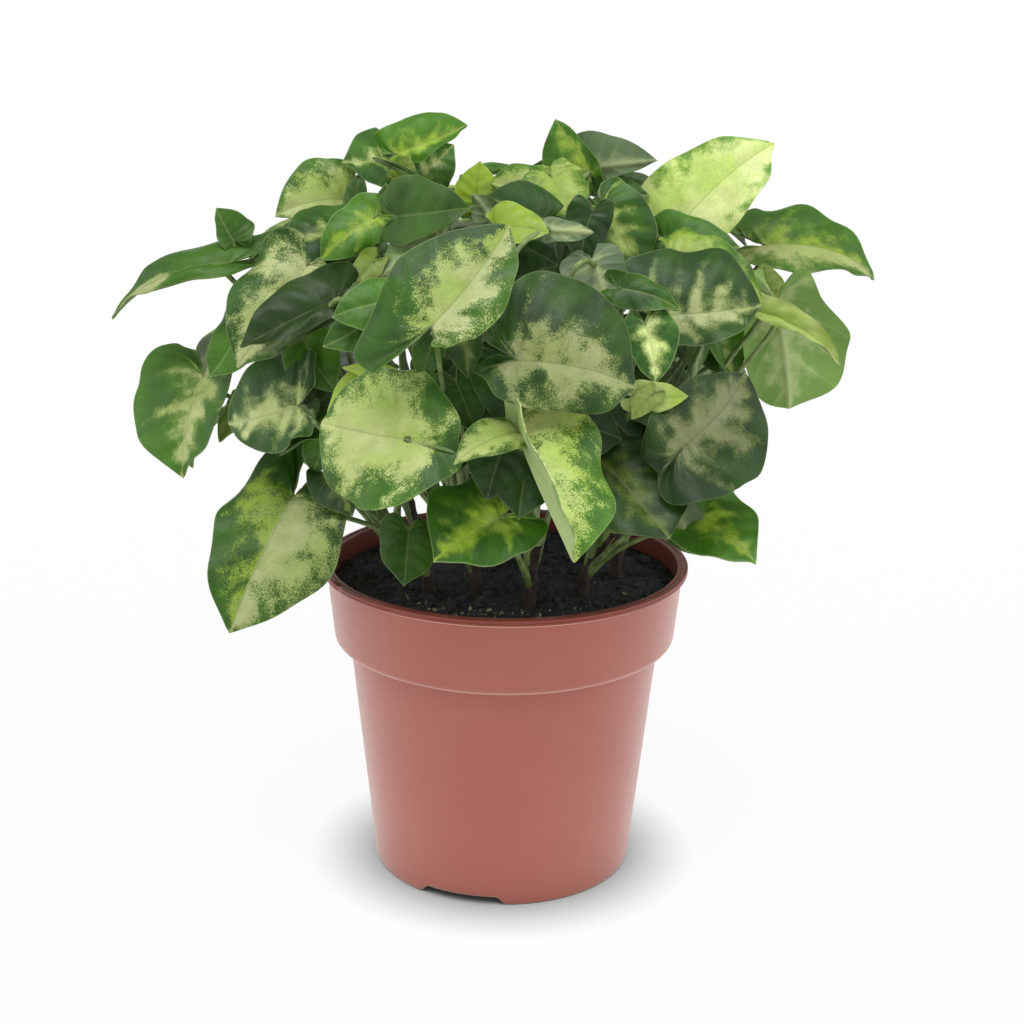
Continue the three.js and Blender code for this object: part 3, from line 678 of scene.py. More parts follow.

# %% [markdown]
# ## The leaf's upper side
#
# A leaf is a thin sheet of wet cells under a wax skin, so it is satin with an IOR near 1.42 and
# lets some light through. Its variegation is not paint: cream patches are cells with no
# chlorophyll, lime ones have a little, and the border between two is a scatter of tiny islands.
# So the shader starts from a soft value that says how pale a place is, adds grain, and cuts the
# sum softly at two heights. Real islands are 0.2 mm wide, and are drawn at 0.45 mm so that they
# show.
#
# Three named values come with each point: leaf_look holds how pale, how creamy and how deep the
# green is; leaf_lines holds the place between side veins, millimetres per vein and millimetres
# from the midrib; leaf_edge holds millimetres from the margin, how grainy the border is, and a
# shift of tone that is each leaf's own, with painted shade and painted light in it.

# %% Colours and sizes of the upper side
LIME = linear("#8ca830")
CREAM = linear("#b5bd82")
GREEN_FRESH = linear("#467516")
GREEN_DEEP = linear("#284b18")
VEIN_PALE = linear("#8f9f58")
VEIN_DARK_WITH_PAINTED_SHADE = linear("#6f8040")
EDGE_PALE = linear("#a9b57a")
ISLAND_MM = 0.45
CLOUD_MM = 13
BLOTCH_MM = 4.5
GROUP_MM = 1.5
VEIN_GAP_MM = 4
STROKE_SHORTER = 0.45
HALVES_DIFFER = 0.15
SKIN_MM = 0.9
PUCKER = 3.5
QUILT_MM = 0.12
print("grain is drawn at", ISLAND_MM, "mm, blotches at", BLOTCH_MM, "mm")

# %% [markdown]
# ### Side veins, midrib and margin
#
# Side veins are fine sunken lines above and low ridges below. They could be painted, but each
# point of the blade already carries its distance from the next vein, the midrib and the margin,
# so a line is simply where that distance is small. One function draws the lines for both sides.

# %% Settings that many nodes share
SMOOTH = {"interpolation_type": "SMOOTHSTEP"}
BLEND = {"data_type": "RGBA"}
TIMES = {"operation": "MULTIPLY"}
PLUS = {"operation": "ADD"}
MINUS = {"operation": "SUBTRACT"}
print("a soft step is a MapRange with", SMOOTH)

# %% Where the veins run
SIDE_SOFT_MM = 0.6
RIB_SOFT_MM = 0.5
MARGIN_FROM_MM, MARGIN_TO_MM = 0.1, 0.38


def vein_lines(material, thin_mm, wide_mm):
    """Side veins, midrib and margin as values from 0 to 1, and how near the next vein is."""
    rows = add(material, "Attribute", attribute_name="leaf_lines").outputs["Vector"]
    phase, spacing, from_rib = add(material, "SeparateXYZ", {"Vector": rows}).outputs
    rows = add(material, "Attribute", attribute_name="leaf_edge").outputs["Vector"]
    from_margin = add(material, "SeparateXYZ", {"Vector": rows}).outputs[0]
    nearest = add(material, "Math", {0: phase, 1: 0.5}, operation="PINGPONG").outputs[0]
    side_mm = add(material, "Math", {0: nearest, 1: spacing}, **TIMES).outputs[0]
    side = add(material, "MapRange", {
        "Value": side_mm, "From Min": thin_mm, "From Max": thin_mm + SIDE_SOFT_MM,
        "To Min": 1, "To Max": 0}, **SMOOTH).outputs[0]
    rib = add(material, "MapRange", {
        "Value": from_rib, "From Min": wide_mm, "From Max": wide_mm + RIB_SOFT_MM,
        "To Min": 1, "To Max": 0}, **SMOOTH).outputs[0]
    edge = add(material, "MapRange", {
        "Value": from_margin, "From Min": MARGIN_FROM_MM, "From Max": MARGIN_TO_MM,
        "To Min": 1, "To Max": 0}, **SMOOTH).outputs[0]
    return side, rib, edge, nearest


leaf_upper, output = new_material("leaf_upper_skin")
side, rib, edge, nearest = vein_lines(leaf_upper, 0, 0.05)
print("vein lines take", len(leaf_upper.node_tree.nodes) - 1, "nodes")

# %% What each point of the upper skin says
place = add(leaf_upper, "TexCoord").outputs["Object"]
rows = add(leaf_upper, "Attribute", attribute_name="leaf_look").outputs["Vector"]
pale, creamy, deep = add(leaf_upper, "SeparateXYZ", {"Vector": rows}).outputs
rows = add(leaf_upper, "Attribute", attribute_name="leaf_edge").outputs["Vector"]
# The third value is each leaf's tone, with painted shade and painted light in it.
_, grainy, own_tone_and_painted_light = add(leaf_upper, "SeparateXYZ", {"Vector": rows}).outputs
rows = add(leaf_upper, "Attribute", attribute_name="leaf_lines").outputs["Vector"]
phase, _, from_rib = add(leaf_upper, "SeparateXYZ", {"Vector": rows}).outputs
print("values read:", "how pale, creamy, deep, grainy, own tone, vein and midrib")

# %% [markdown]
# ### Grain
#
# Islands of cream are longer along the side veins, because cells divide in rows there. Leaves
# point every way, so stretching the noise in space would not do. It is read in the leaf's own
# measures instead: millimetres across the veins, and shortened millimetres along them.

# %% Strokes that run along the side veins
across = add(leaf_upper, "Math", {0: phase, 1: VEIN_GAP_MM}, **TIMES).outputs[0]
outwards = add(leaf_upper, "Math", {0: from_rib, 1: STROKE_SHORTER}, **TIMES).outputs[0]
sideways = add(leaf_upper, "SeparateXYZ", {"Vector": place}).outputs[0]
halves = add(leaf_upper, "Math", {0: sideways, 1: HALVES_DIFFER / MM}, **TIMES).outputs[0]
strokes = add(leaf_upper, "CombineXYZ", {0: across, 1: outwards, 2: halves}).outputs[0]
print("strokes are drawn in millimetres,", round(1 / STROKE_SHORTER, 1), "times as long as wide")


# %% How pale a place is, with its grain
def speckle(where, scale, detail, strength):
    """Noise of one size, centred on zero and made stronger, and the plain noise."""
    grains = add(leaf_upper, "TexNoise", {
        "Vector": where, "Scale": scale, "Detail": detail}).outputs[0]
    centred = add(leaf_upper, "Math", {0: grains, 1: 0.5}, **MINUS).outputs[0]
    return add(leaf_upper, "Math", {0: centred, 1: strength}, **TIMES).outputs[0], grains


islands, _ = speckle(place, scale=1 / (ISLAND_MM * MM), detail=2.5, strength=2.4)
groups, _ = speckle(strokes, scale=1 / GROUP_MM, detail=2, strength=1.5)
patch, blotches = speckle(place, scale=1 / (BLOTCH_MM * MM), detail=3, strength=1.7)
grain = add(leaf_upper, "Math", {0: islands, 1: groups}, **PLUS).outputs[0]
grain = add(leaf_upper, "Math", {0: grain, 1: grainy}, **TIMES).outputs[0]
paleness = add(leaf_upper, "Math", {0: pale, 1: grain}, **PLUS).outputs[0]
paleness = add(leaf_upper, "Math", {0: paleness, 1: patch}, **PLUS).outputs[0]
half_pale = add(leaf_upper, "MapRange", {
    "Value": paleness, "From Min": 0, "From Max": 0.58}, **SMOOTH).outputs[0]
full_pale = add(leaf_upper, "MapRange", {
    "Value": paleness, "From Min": 0.34, "From Max": 0.92}, **SMOOTH).outputs[0]
print("three sizes of grain:", ISLAND_MM, GROUP_MM, BLOTCH_MM, "mm")

# %% [markdown]
# ### Colour
#
# Where all layers of cells lack chlorophyll the leaf is cream or lime, and where only some do it
# is half pale, so the two soft steps give a tone in between. Green and cream both drift slowly
# over the blade. The lines come last, over everything.

# %% Green, lime and cream
clouds = add(leaf_upper, "TexNoise", {
    "Vector": place, "Scale": 1 / (CLOUD_MM * MM), "Detail": 2}).outputs[0]
drift = add(leaf_upper, "MapRange", {
    "Value": clouds, "From Min": 0.35, "From Max": 0.65,
    "To Min": -0.28, "To Max": 0.28}, **SMOOTH).outputs[0]
deeper = add(leaf_upper, "Math", {0: deep, 1: drift}, **PLUS).outputs[0]
green = add(leaf_upper, "Mix", {0: deeper, 6: GREEN_FRESH, 7: GREEN_DEEP}, **BLEND).outputs[2]
drift = add(leaf_upper, "MapRange", {
    "Value": clouds, "From Min": 0.35, "From Max": 0.65,
    "To Min": 0.2, "To Max": -0.2}, **SMOOTH).outputs[0]
creamier = add(leaf_upper, "Math", {0: creamy, 1: drift}, **PLUS).outputs[0]
light = add(leaf_upper, "Mix", {0: creamier, 6: LIME, 7: CREAM}, **BLEND).outputs[2]
less = add(leaf_upper, "Math", {0: creamier, 1: 0.6}, **TIMES).outputs[0]
softer = add(leaf_upper, "Mix", {0: less, 6: LIME, 7: CREAM}, **BLEND).outputs[2]
between = add(leaf_upper, "Mix", {0: 0.5, 6: green, 7: softer}, **BLEND).outputs[2]
colour = add(leaf_upper, "Mix", {0: half_pale, 6: green, 7: between}, **BLEND).outputs[2]
colour = add(leaf_upper, "Mix", {0: full_pale, 6: colour, 7: light}, **BLEND).outputs[2]
print("colour drifts over", CLOUD_MM, "mm")

# %% Draw the side veins, the midrib and the pale margin over it
# On cream the veins are darker: partly their greener colour, partly painted shade in the creases.
vein_tint_with_painted_shade = add(leaf_upper, "Mix", {0: full_pale, 6: VEIN_PALE, 7: VEIN_DARK_WITH_PAINTED_SHADE}, **BLEND).outputs[2]
for line, shows, tint in ((side, 0.06, vein_tint_with_painted_shade), (rib, 0.38, vein_tint_with_painted_shade), (edge, 0.25, EDGE_PALE)):
    share = add(leaf_upper, "Math", {0: line, 1: shows}, **TIMES).outputs[0]
    colour = add(leaf_upper, "Mix", {0: share, 6: colour, 7: tint}, **BLEND).outputs[2]
print("lines are drawn, the midrib most strongly")

# %% [markdown]
# ### Tone, wax and relief
#
# The waxy skin is finely grained, and the tissue puckers a little between the veins. Swellings
# that change the outline are real geometry, and only what is under a millimetre is a bump.

# %% Uneven tone
skin = add(leaf_upper, "TexNoise", {
    "Vector": place, "Scale": 1 / (SKIN_MM * MM), "Detail": 3}).outputs[0]
fine_tone = add(leaf_upper, "MapRange", {
    "Value": skin, "From Min": 0.3, "From Max": 0.7,
    "To Min": 0.95, "To Max": 1.05}, **SMOOTH).outputs[0]
patchy_tone = add(leaf_upper, "MapRange", {
    "Value": blotches, "From Min": 0.3, "From Max": 0.7,
    "To Min": 0.93, "To Max": 1.07}, **SMOOTH).outputs[0]
tone = add(leaf_upper, "Math", {0: own_tone_and_painted_light, 1: fine_tone}, **TIMES).outputs[0]
tone = add(leaf_upper, "Math", {0: tone, 1: patchy_tone}, **TIMES).outputs[0]
toned = add(leaf_upper, "HueSaturation", {"Color": colour, "Value": tone}).outputs[0]
print("tone varies over", SKIN_MM, "and", BLOTCH_MM, "mm")

# %% Wax and relief
wax = add(leaf_upper, "MapRange", {
    "Value": skin, "From Min": 0.3, "From Max": 0.7,
    "To Min": 0.38, "To Max": 0.5}, **SMOOTH).outputs[0]
pillow = add(leaf_upper, "MapRange", {"Value": nearest, "From Max": 0.5}, **SMOOTH).outputs[0]
puckers = add(leaf_upper, "Math", {0: blotches, 1: PUCKER}, **TIMES).outputs[0]
quilt = add(leaf_upper, "Math", {0: pillow, 1: skin}, **PLUS).outputs[0]
quilt = add(leaf_upper, "Math", {0: quilt, 1: puckers}, **PLUS).outputs[0]
relief = add(leaf_upper, "Bump", {
    "Height": quilt, "Distance": QUILT_MM * MM, "Strength": 0.6}).outputs[0]
upper = add(leaf_upper, "BsdfPrincipled", {
    "Base Color": toned, "Roughness": wax, "Normal": relief, "IOR": 1.42,
    "Specular IOR Level": 0.38, "Subsurface Weight": 0.15, "Subsurface Radius": (0.6, 1, 0.25),
    "Subsurface Scale": 1.2 * MM})
leaf_upper.node_tree.links.new(upper.outputs[0], output.inputs[0])
print("the upper skin has", len(leaf_upper.node_tree.nodes), "nodes")

# %% [markdown]
# ## The underside, the stalks and the stems
#
# Below, air spaces under the skin scatter light, so the same leaf looks paler, greyer and duller
# there, with raised veins that show strongly. Petioles are smooth, pale green and a little glossy,
# and their green is painted darker, as shade inside the plant. The main stems are brownish pink,
# and here they are painted almost black-brown, as the deep shade under the leaves.

# %% The underside
UNDER_GREEN = linear("#6c8f3c")
UNDER_GREY = linear("#66795c")
UNDER_PALE = linear("#a1ad76")
UNDER_VEIN = linear("#adb883")
RIDGE_RELIEF_MM = 0.15

leaf_under, output = new_material("leaf_underside")
place = add(leaf_under, "TexCoord").outputs["Object"]
rows = add(leaf_under, "Attribute", attribute_name="leaf_look").outputs["Vector"]
pale, _, deep = add(leaf_under, "SeparateXYZ", {"Vector": rows}).outputs
rows = add(leaf_under, "Attribute", attribute_name="leaf_edge").outputs["Vector"]
# The third value is each leaf's tone, with painted shade and painted light in it.
own_tone_and_painted_light = add(leaf_under, "SeparateXYZ", {"Vector": rows}).outputs[2]
side, rib, _, _ = vein_lines(leaf_under, 0.1, 0.45)
cloud = add(leaf_under, "TexNoise", {
    "Vector": place, "Scale": 1 / (BLOTCH_MM * MM), "Detail": 4}).outputs[0]
centred = add(leaf_under, "Math", {0: cloud, 1: 0.5}, **MINUS).outputs[0]
mottled = add(leaf_under, "Math", {0: centred, 1: 2.2}, **TIMES).outputs[0]
paleness = add(leaf_under, "Math", {0: pale, 1: mottled}, **PLUS).outputs[0]
whiter = add(leaf_under, "MapRange", {
    "Value": paleness, "From Min": 0.2, "From Max": 0.9, "To Max": 0.7}, **SMOOTH).outputs[0]
plain = add(leaf_under, "Mix", {0: deep, 6: UNDER_GREEN, 7: UNDER_GREY}, **BLEND).outputs[2]
colour = add(leaf_under, "Mix", {0: whiter, 6: plain, 7: UNDER_PALE}, **BLEND).outputs[2]
for line, shows in ((side, 0.08), (rib, 0.3)):
    share = add(leaf_under, "Math", {0: line, 1: shows}, **TIMES).outputs[0]
    colour = add(leaf_under, "Mix", {0: share, 6: colour, 7: UNDER_VEIN}, **BLEND).outputs[2]
toned = add(leaf_under, "HueSaturation", {"Color": colour, "Value": own_tone_and_painted_light}).outputs[0]
print("the underside's colours take", len(leaf_under.node_tree.nodes), "nodes")

# %% Relief and dullness of the underside
lumpy = add(leaf_under, "Math", {0: cloud, 1: 0.6}, **TIMES).outputs[0]
ridge = add(leaf_under, "Math", {0: side, 1: lumpy}, **PLUS).outputs[0]
relief = add(leaf_under, "Bump", {
    "Height": ridge, "Distance": RIDGE_RELIEF_MM * MM, "Strength": 0.5}).outputs[0]
dull = add(leaf_under, "MapRange", {
    "Value": cloud, "From Min": 0.3, "From Max": 0.7,
    "To Min": 0.5, "To Max": 0.6}, **SMOOTH).outputs[0]
under = add(leaf_under, "BsdfPrincipled", {
    "Base Color": toned, "Roughness": dull, "Normal": relief, "IOR": 1.42,
    "Subsurface Weight": 0.15, "Subsurface Radius": (0.6, 1, 0.25), "Subsurface Scale": 1.2 * MM})
leaf_under.node_tree.links.new(under.outputs[0], output.inputs[0])
print("the underside has", len(leaf_under.node_tree.nodes), "nodes")

# %% Petioles and main stems
STREAK_STRETCH = 0.25
STREAK_RELIEF_MM = 0.1


def stalk_skin(name, dark, light, streak_mm, rough):
    """A smooth stalk, streaked lengthwise because its noise is stretched along Z."""
    made, out = new_material(name)
    where = add(made, "TexCoord").outputs["Object"]
    drawn = add(made, "Mapping", {"Vector": where, "Scale": (1, 1, STREAK_STRETCH)}).outputs[0]
    streaks = add(made, "TexNoise", {
        "Vector": drawn, "Scale": 1 / (streak_mm * MM), "Detail": 4}).outputs[0]
    share = add(made, "MapRange", {
        "Value": streaks, "From Min": 0.35, "From Max": 0.65}, **SMOOTH).outputs[0]
    tint = add(made, "Mix", {0: share, 6: linear(dark), 7: linear(light)}, **BLEND).outputs[2]
    bumps = add(made, "Bump", {
        "Height": streaks, "Distance": STREAK_RELIEF_MM * MM, "Strength": 0.6}).outputs[0]
    gloss = add(made, "MapRange", {
        "Value": streaks, "From Min": 0.3, "From Max": 0.7,
        "To Min": rough - 0.06, "To Max": rough + 0.08}, **SMOOTH).outputs[0]
    body = add(made, "BsdfPrincipled", {
        "Base Color": tint, "Roughness": gloss, "Normal": bumps, "IOR": 1.45})
    made.node_tree.links.new(body.outputs[0], out.inputs[0])
    return made


# Both stalk colours are darker than the stalks: painted shade for the dim heart of the plant.
petiole_skin_painted_shade = stalk_skin("petiole_skin_painted_shade", "#5a6f38", "#7f9258", 2.5, 0.42)
stem_bark_painted_shade = stalk_skin("stem_bark_dark_as_painted_shade", "#241e1b", "#43362f", 1.8, 0.6)
print("leaf, petiole and stem finishes are ready")

# %% [markdown]
# ## The shape of one blade
#
# Seen flat, a blade is a heart with two lobes behind the place where the petiole joins. Half of
# that outline is eight points, and a Catmull-Rom curve runs smoothly through them. Rows go from
# the midrib to the margin, and a point on a row is then bent in space: the rib arches and sways,
# each half rises at the rib and rolls down again further out, the margin waves, and the tip may
# twist or flick up. The frame's solids take the same steps with a few faces, so both agree.

# %% The flat half blade, in blade lengths
OUTLINE = ((0, 0), (-0.20, 0.07), (-0.335, 0.20), (-0.285, 0.38),
           (-0.06, 0.485), (0.26, 0.455), (0.62, 0.27), (1, 0))
SHOULDER = ((0, 0), (0, 0), (0, 0), (0, 0), (0.06, 0.02), (0.08, 0.07), (0.09, 0.10), (0, 0))
RIB = (0, 0, 0, 0, 0.12, 0.38, 0.70, 1)


def smooth_curve(corners, steps):
    """A Catmull-Rom curve through the corners, cut into equal steps."""
    corners = np.asarray(corners, float)
    if corners.ndim == 1:
        corners = corners[:, None]
    ends = np.vstack([2 * corners[0] - corners[1], corners, 2 * corners[-1] - corners[-2]])
    where = np.linspace(0, len(corners) - 1, steps + 1)
    span = np.minimum(where.astype(int), len(corners) - 2)
    f = (where - span)[:, None]
    a, b, c, d = ends[span], ends[span + 1], ends[span + 2], ends[span + 3]
    square, cube = 2 * a - 5 * b + 4 * c - d, 3 * b - a - 3 * c + d
    return 0.5 * (2 * b + (c - a) * f + square * f ** 2 + cube * f ** 3)


print("the outline of half a blade:", smooth_curve(OUTLINE, 4).round(2).tolist())

# %% What a leaf is
SWAY = 0.05
FLICK = 0.06


def unit(vector):
    """The same direction with length one."""
    return vector / np.linalg.norm(vector)


def leaf(at, tip, face, look, **form):
    """One leaf: its joint and tip in millimetres, where its top faces in degrees, and its look."""
    plain = {"width": 1, "full": 0.7, "lobes": 1, "fold": (12, 12), "cup": (25, 25), "bend": 35,
             "wave": 0.05, "sway": SWAY * math.sin(at[0] + 2 * at[2]),
             "flick": FLICK * math.cos(2 * at[0] + at[2]), "twist": 0, "shut": 0,
             "tone": None, "inner": False, "marks": ()}
    given = {"at": np.array(at, float), "tip": np.array(tip, float), "face": face, "look": look}
    return {**plain, **form, **given}


def blade_axes(form):
    """Length of a blade and its own directions: along to the tip, across to the left, up."""
    along = form["tip"] - form["at"]
    length = np.linalg.norm(along)
    along = along / length
    turn, rise = np.radians(form["face"])
    up = np.array([math.cos(rise) * math.sin(turn), -math.cos(rise) * math.cos(turn), math.sin(rise)])
    up = unit(up - along * up.dot(along))
    return length, along, np.cross(up, along), up


print("a leaf is told by:", *leaf((0, 0, 0), (30, 0, 0), (0, 45), "green"))

# %% Bend a flat blade in space
WAVES = 2.2
WAVE_OFFSET = 1.7
FINE_WAVES = 5.7
FINE_OFFSET = 2.9
FINE_WAVE = 0.016
FLICK_START = 0.55


def blade_points(form, x, y, side, share, turn):
    """Places on a blade. x runs along the rib and y out from it, side is 0 left or 1 right."""
    length, along, across, up = blade_axes(form)
    bend = math.radians(form["bend"])
    radius = 1 / (2 * math.sin(bend / 2))
    angle = bend * (np.maximum(x, 0) - 0.5)
    behind = np.minimum(x, 0)
    rib_x = radius * np.sin(angle) + 0.5 + behind * np.cos(angle)
    rib_z = radius * (np.cos(angle) - math.cos(bend / 2)) - behind * np.sin(angle)
    tilt = math.radians(form["fold"][side]) - math.radians(form["cup"][side]) * y
    ripple = np.sin(TURN * WAVES * turn + side * WAVE_OFFSET) * np.sin(math.pi * turn)
    fine = np.sin(TURN * FINE_WAVES * turn + side * FINE_OFFSET + form["at"][0])
    fine = fine * np.sin(math.pi * turn)
    out = (1 if side == 0 else -1) * y * np.cos(tilt)
    lift = y * np.sin(tilt) + form["wave"] * share ** 2 * ripple + FINE_WAVE * share ** 3 * fine
    ahead = np.maximum(x, 0)
    twist = math.radians(form["twist"]) * ahead
    flick = form["flick"] * np.maximum(0, (ahead - FLICK_START) / (1 - FLICK_START)) ** 2
    wide = out * np.cos(twist) - lift * np.sin(twist) + form["sway"] * 4 * ahead * (1 - ahead)
    high = out * np.sin(twist) + lift * np.cos(twist) + flick
    return (form["at"]
            + length * (rib_x + high * np.sin(angle))[..., None] * along
            + length * wide[..., None] * across
            + length * (rib_z + high * np.cos(angle))[..., None] * up)


print("the shape of a blade is ready, with", WAVES, "waves along each margin")

# %% [markdown]
# ## Veins and variegation as numbers
#
# Side veins leave the midrib and sweep forward. On the grid of rows a vein is a line along which
# turn grows a little with share, so their difference, times the number of veins, counts veins:
# it is whole on a vein and half between two. Cream follows the veins outwards, which gives the
# feathered star of this plant. Each look below is how far cream reaches on the left and right,
# how much it feathers, how creamy it is, how deep the green is, and how grainy the border is.
#
# A leaf may also have marks: soft round spots where cream is added or taken away. A mark is a
# place on the flat blade, a size and an amount, and all but the amount are in blade lengths.

# %% The looks
LOOKS = {
    "cream": ((0.85, 0.85), 0.10, 0.70, 0.60, 0.55),
    "star": ((0.42, 0.42), 0.22, 0.55, 0.55, 0.35),
    "streak": ((0.10, 0.10), 0.16, 0.25, 0.60, 0.30),
    "dark": ((-0.6, -0.6), 0.10, 0.30, 0.95, 0.25),
    "mid": ((0.02, 0.02), 0.15, 0.50, 0.62, 0.25),
    "green": ((-0.45, -0.45), 0.10, 0.20, 0.25, 0.20),
    "lime": ((1.50, 1.50), 0.10, 0.15, 0.15, 0.30),
    # The grey look is partly painted sheen: cream and deep green mixed to the grey cast of satin sheen.
    "grey_painted_sheen": ((0.45, 0.45), 0.25, 0.90, 1.00, 0.40),
    "veins": ((0.55, 0.55), 0.35, 0.80, 0.85, 0.40),
    "under": ((0.30, 0.30), 0.15, 0.50, 0.50, 0.25),
}
VEINS = 9
VEIN_SWEEP = 0.15
PALE_SLOPE = 1.25
TIP_NARROWS = 0.35
print(len(LOOKS), "looks")


# %% Count veins and say how pale each place is
def vein_count(turn, share):
    """Whole numbers on side veins. The sweep fades out at the joint and the tip."""
    window = np.clip(turn / 0.25, 0, 1) * np.clip((1 - turn) / 0.2, 0, 1)
    return VEINS * (turn - VEIN_SWEEP * window * share ** 1.2)


def how_pale(form, x, y, side, share, phase):
    """Half on the border of the cream, more inside it and less outside."""
    reach, feather, _, _, _ = LOOKS[form["look"]]
    reach, feather = form.get("reach", reach), form.get("feather", feather)
    place = form["at"].sum() + 3 * side
    own = np.sin(TURN * phase / 2.7 + place) + np.sin(TURN * phase / 1.7 + 2 * place)
    border = reach[side] - share * (1 + TIP_NARROWS * np.maximum(x, 0)) + 0.08 * own
    value = 0.5 + PALE_SLOPE * (border + feather * np.cos(TURN * phase) * (0.75 + 0.4 * own))
    signed = y if side == 0 else -y
    for mark_x, mark_y, size, amount in form["marks"]:
        value = value + amount * np.exp(-((x - mark_x) ** 2 + (signed - mark_y) ** 2) / size ** 2)
    return value


print("half way along, a vein is number", round(float(vein_count(0.5, 0.0)), 1), "at the rib")

# %% [markdown]
# ## Build a blade
#
# The middle surface comes first, on a grid, with points that meet at the rib, the joint and the
# tip joined into one. Tissue swells between the veins, so each point moves along its normal by
# a fraction of a millimetre. Each half also rolls a little, its margin curls up or down, and
# shallow pleats follow the veins, so that no two leaves lie the same. Then the sheet gets its
# thickness: one copy above, one below, and a strip round the margin. Below, the midrib stands
# out as a ridge.

# %% Sizes of the sheet and of its unevenness
SHEET_MM = 0.32
SWELL_MM = 0.35
SWELL_FADE_MM = 3
BUCKLE = 0.034
CURL = 0.06
PLEAT = 0.012
RIDGE_MM = 0.55
RIDGE_WIDTH_MM = 0.9
SMALL_BLADE_MM = 24
SMALL_GRID, LARGE_GRID = (34, 8), (56, 12)
UNEVEN = 0.055
SINUS_GAP = 0.012


def to_margin(points, margin):
    """Shortest distance from each flat point to the margin's line."""
    start, run = margin[:-1], np.diff(margin, axis=0)
    offset = points[..., None, :] - start
    along = np.clip((offset * run).sum(-1) / np.maximum((run ** 2).sum(-1), 1e-12), 0, 1)
    return np.sqrt(((offset - along[..., None] * run) ** 2).sum(-1)).min(-1)


def uneven(turn, place):
    """No margin is a clean curve: it swings in and out a little, differently on every leaf."""
    swing = np.sin(TURN * 1.3 * turn + place) + 0.8 * np.sin(TURN * 3.1 * turn + 2.3 * place)
    return UNEVEN * (swing + 0.4 * np.sin(TURN * 5.3 * turn + 5 * place)) * np.sin(math.pi * turn)


print("a sheet is", SHEET_MM, "mm thick and swells", SWELL_MM, "mm between veins")


# %% The outline of one half, and how it buckles
def half_outline(form, side, rows):
    """The margin of one half of this leaf, flat and in blade lengths."""
    shoulder = form["full"] * smooth_curve(SHOULDER, rows)
    outline = smooth_curve(OUTLINE, rows)
    width, lobe = [both[side] if isinstance(both, tuple) else both
                   for both in (form["width"], form["lobes"])]
    behind = np.minimum(outline[:, 0], 0)
    outline[:, 0] += (lobe - 1) * behind
    outline = (outline + shoulder) * (1, width)
    closed = np.maximum(outline[:, 1] + form["shut"] * lobe * behind, SINUS_GAP)
    outline[:, 1] = np.where(behind < 0, closed, outline[:, 1])
    place = form["at"].sum() + 3 * side
    return outline * (1 + uneven(np.linspace(0, 1, rows + 1), place))[:, None]


def buckled(turn, share, phase, place):
    """How far a place moves out of the surface, in blade lengths: roll, curl and pleats."""
    ends = np.sin(math.pi * turn)
    roll = np.sin(TURN * (1.9 * turn - 0.6 * share) + 2 * place) * ends * share
    curl = np.sin(TURN * 1.15 * turn + 3 * place) * ends * share ** 4
    pleat = np.sin(TURN * phase / 2 + place) * share ** 2
    return BUCKLE * roll + CURL * curl + PLEAT * pleat


print("a margin has", len(half_outline(leaf((0, 0, 0), (30, 0, 0), (0, 45), "green"), 0, 8)), "points")


# %% Half a blade on a grid
def half_blade(form, side, rows, columns):
    """Points of one half on a grid, and the named values of each."""
    outline = half_outline(form, side, rows)
    rib = smooth_curve(RIB, rows)
    turn = np.linspace(0, 1, rows + 1)[:, None] * np.ones(columns + 1)
    share = np.ones((rows + 1, 1)) * (np.arange(columns + 1) / columns) ** 1.25
    x = rib + (outline[:, :1] - rib) * share
    y = outline[:, 1:] * share
    points = blade_points(form, x, y, side, share, turn)
    phase = vein_count(turn, share)
    length = np.linalg.norm(form["tip"] - form["at"])
    pale = how_pale(form, x, y, side, share, phase)
    from_rib = np.hypot(np.minimum(x, 0), y) * length
    from_margin = to_margin(np.stack([x, y], -1), outline) * length
    swell = SWELL_MM * np.sin(math.pi * phase) ** 2
    swell *= np.clip(from_margin / SWELL_FADE_MM, 0, 1) * np.clip(from_rib / SWELL_FADE_MM, 0, 1)
    swell += length * buckled(turn, share, phase, form["at"].sum() + 3 * side)
    return points, phase, vein_spacing(points, phase), from_rib, from_margin, pale, swell


def vein_spacing(points, phase):
    """Millimetres from one side vein to the next at each point, from how fast phase grows."""
    by_turn, by_share = np.gradient(points, axis=0), np.gradient(points, axis=1)
    turn_step, share_step = np.gradient(phase, axis=0), np.gradient(phase, axis=1)
    tt, ts, ss = (by_turn ** 2).sum(-1), (by_turn * by_share).sum(-1), (by_share ** 2).sum(-1)
    steep = (ss * turn_step ** 2 - 2 * ts * turn_step * share_step + tt * share_step ** 2)
    spacing = np.sqrt(np.maximum(tt * ss - ts ** 2, 1e-9) / np.maximum(steep, 1e-9))
    return np.clip(spacing, 0, 30)


print("half a blade is a grid of", LARGE_GRID, "faces, or", SMALL_GRID, "if it is small")


# %% Join two halves into one surface
def join_halves(places, rows, columns):
    """One surface: its points, the first row of each in places, and its faces."""
    _, first, same = np.unique(places.round(4), axis=0, return_index=True, return_inverse=True)
    grid = same.ravel().reshape(2, rows + 1, columns + 1)
    quads = np.stack([grid[:, :-1, :-1], grid[:, 1:, :-1], grid[:, 1:, 1:], grid[:, :-1, 1:]], -1)
    quads[1] = quads[1][..., ::-1]
    faces = []
    for quad in quads.reshape(-1, 4).tolist():
        corners = [corner for k, corner in enumerate(quad) if corner != quad[k - 1]]
        if len(set(corners)) == len(corners) >= 3:
            faces.append(corners)
    return places[first], first, faces


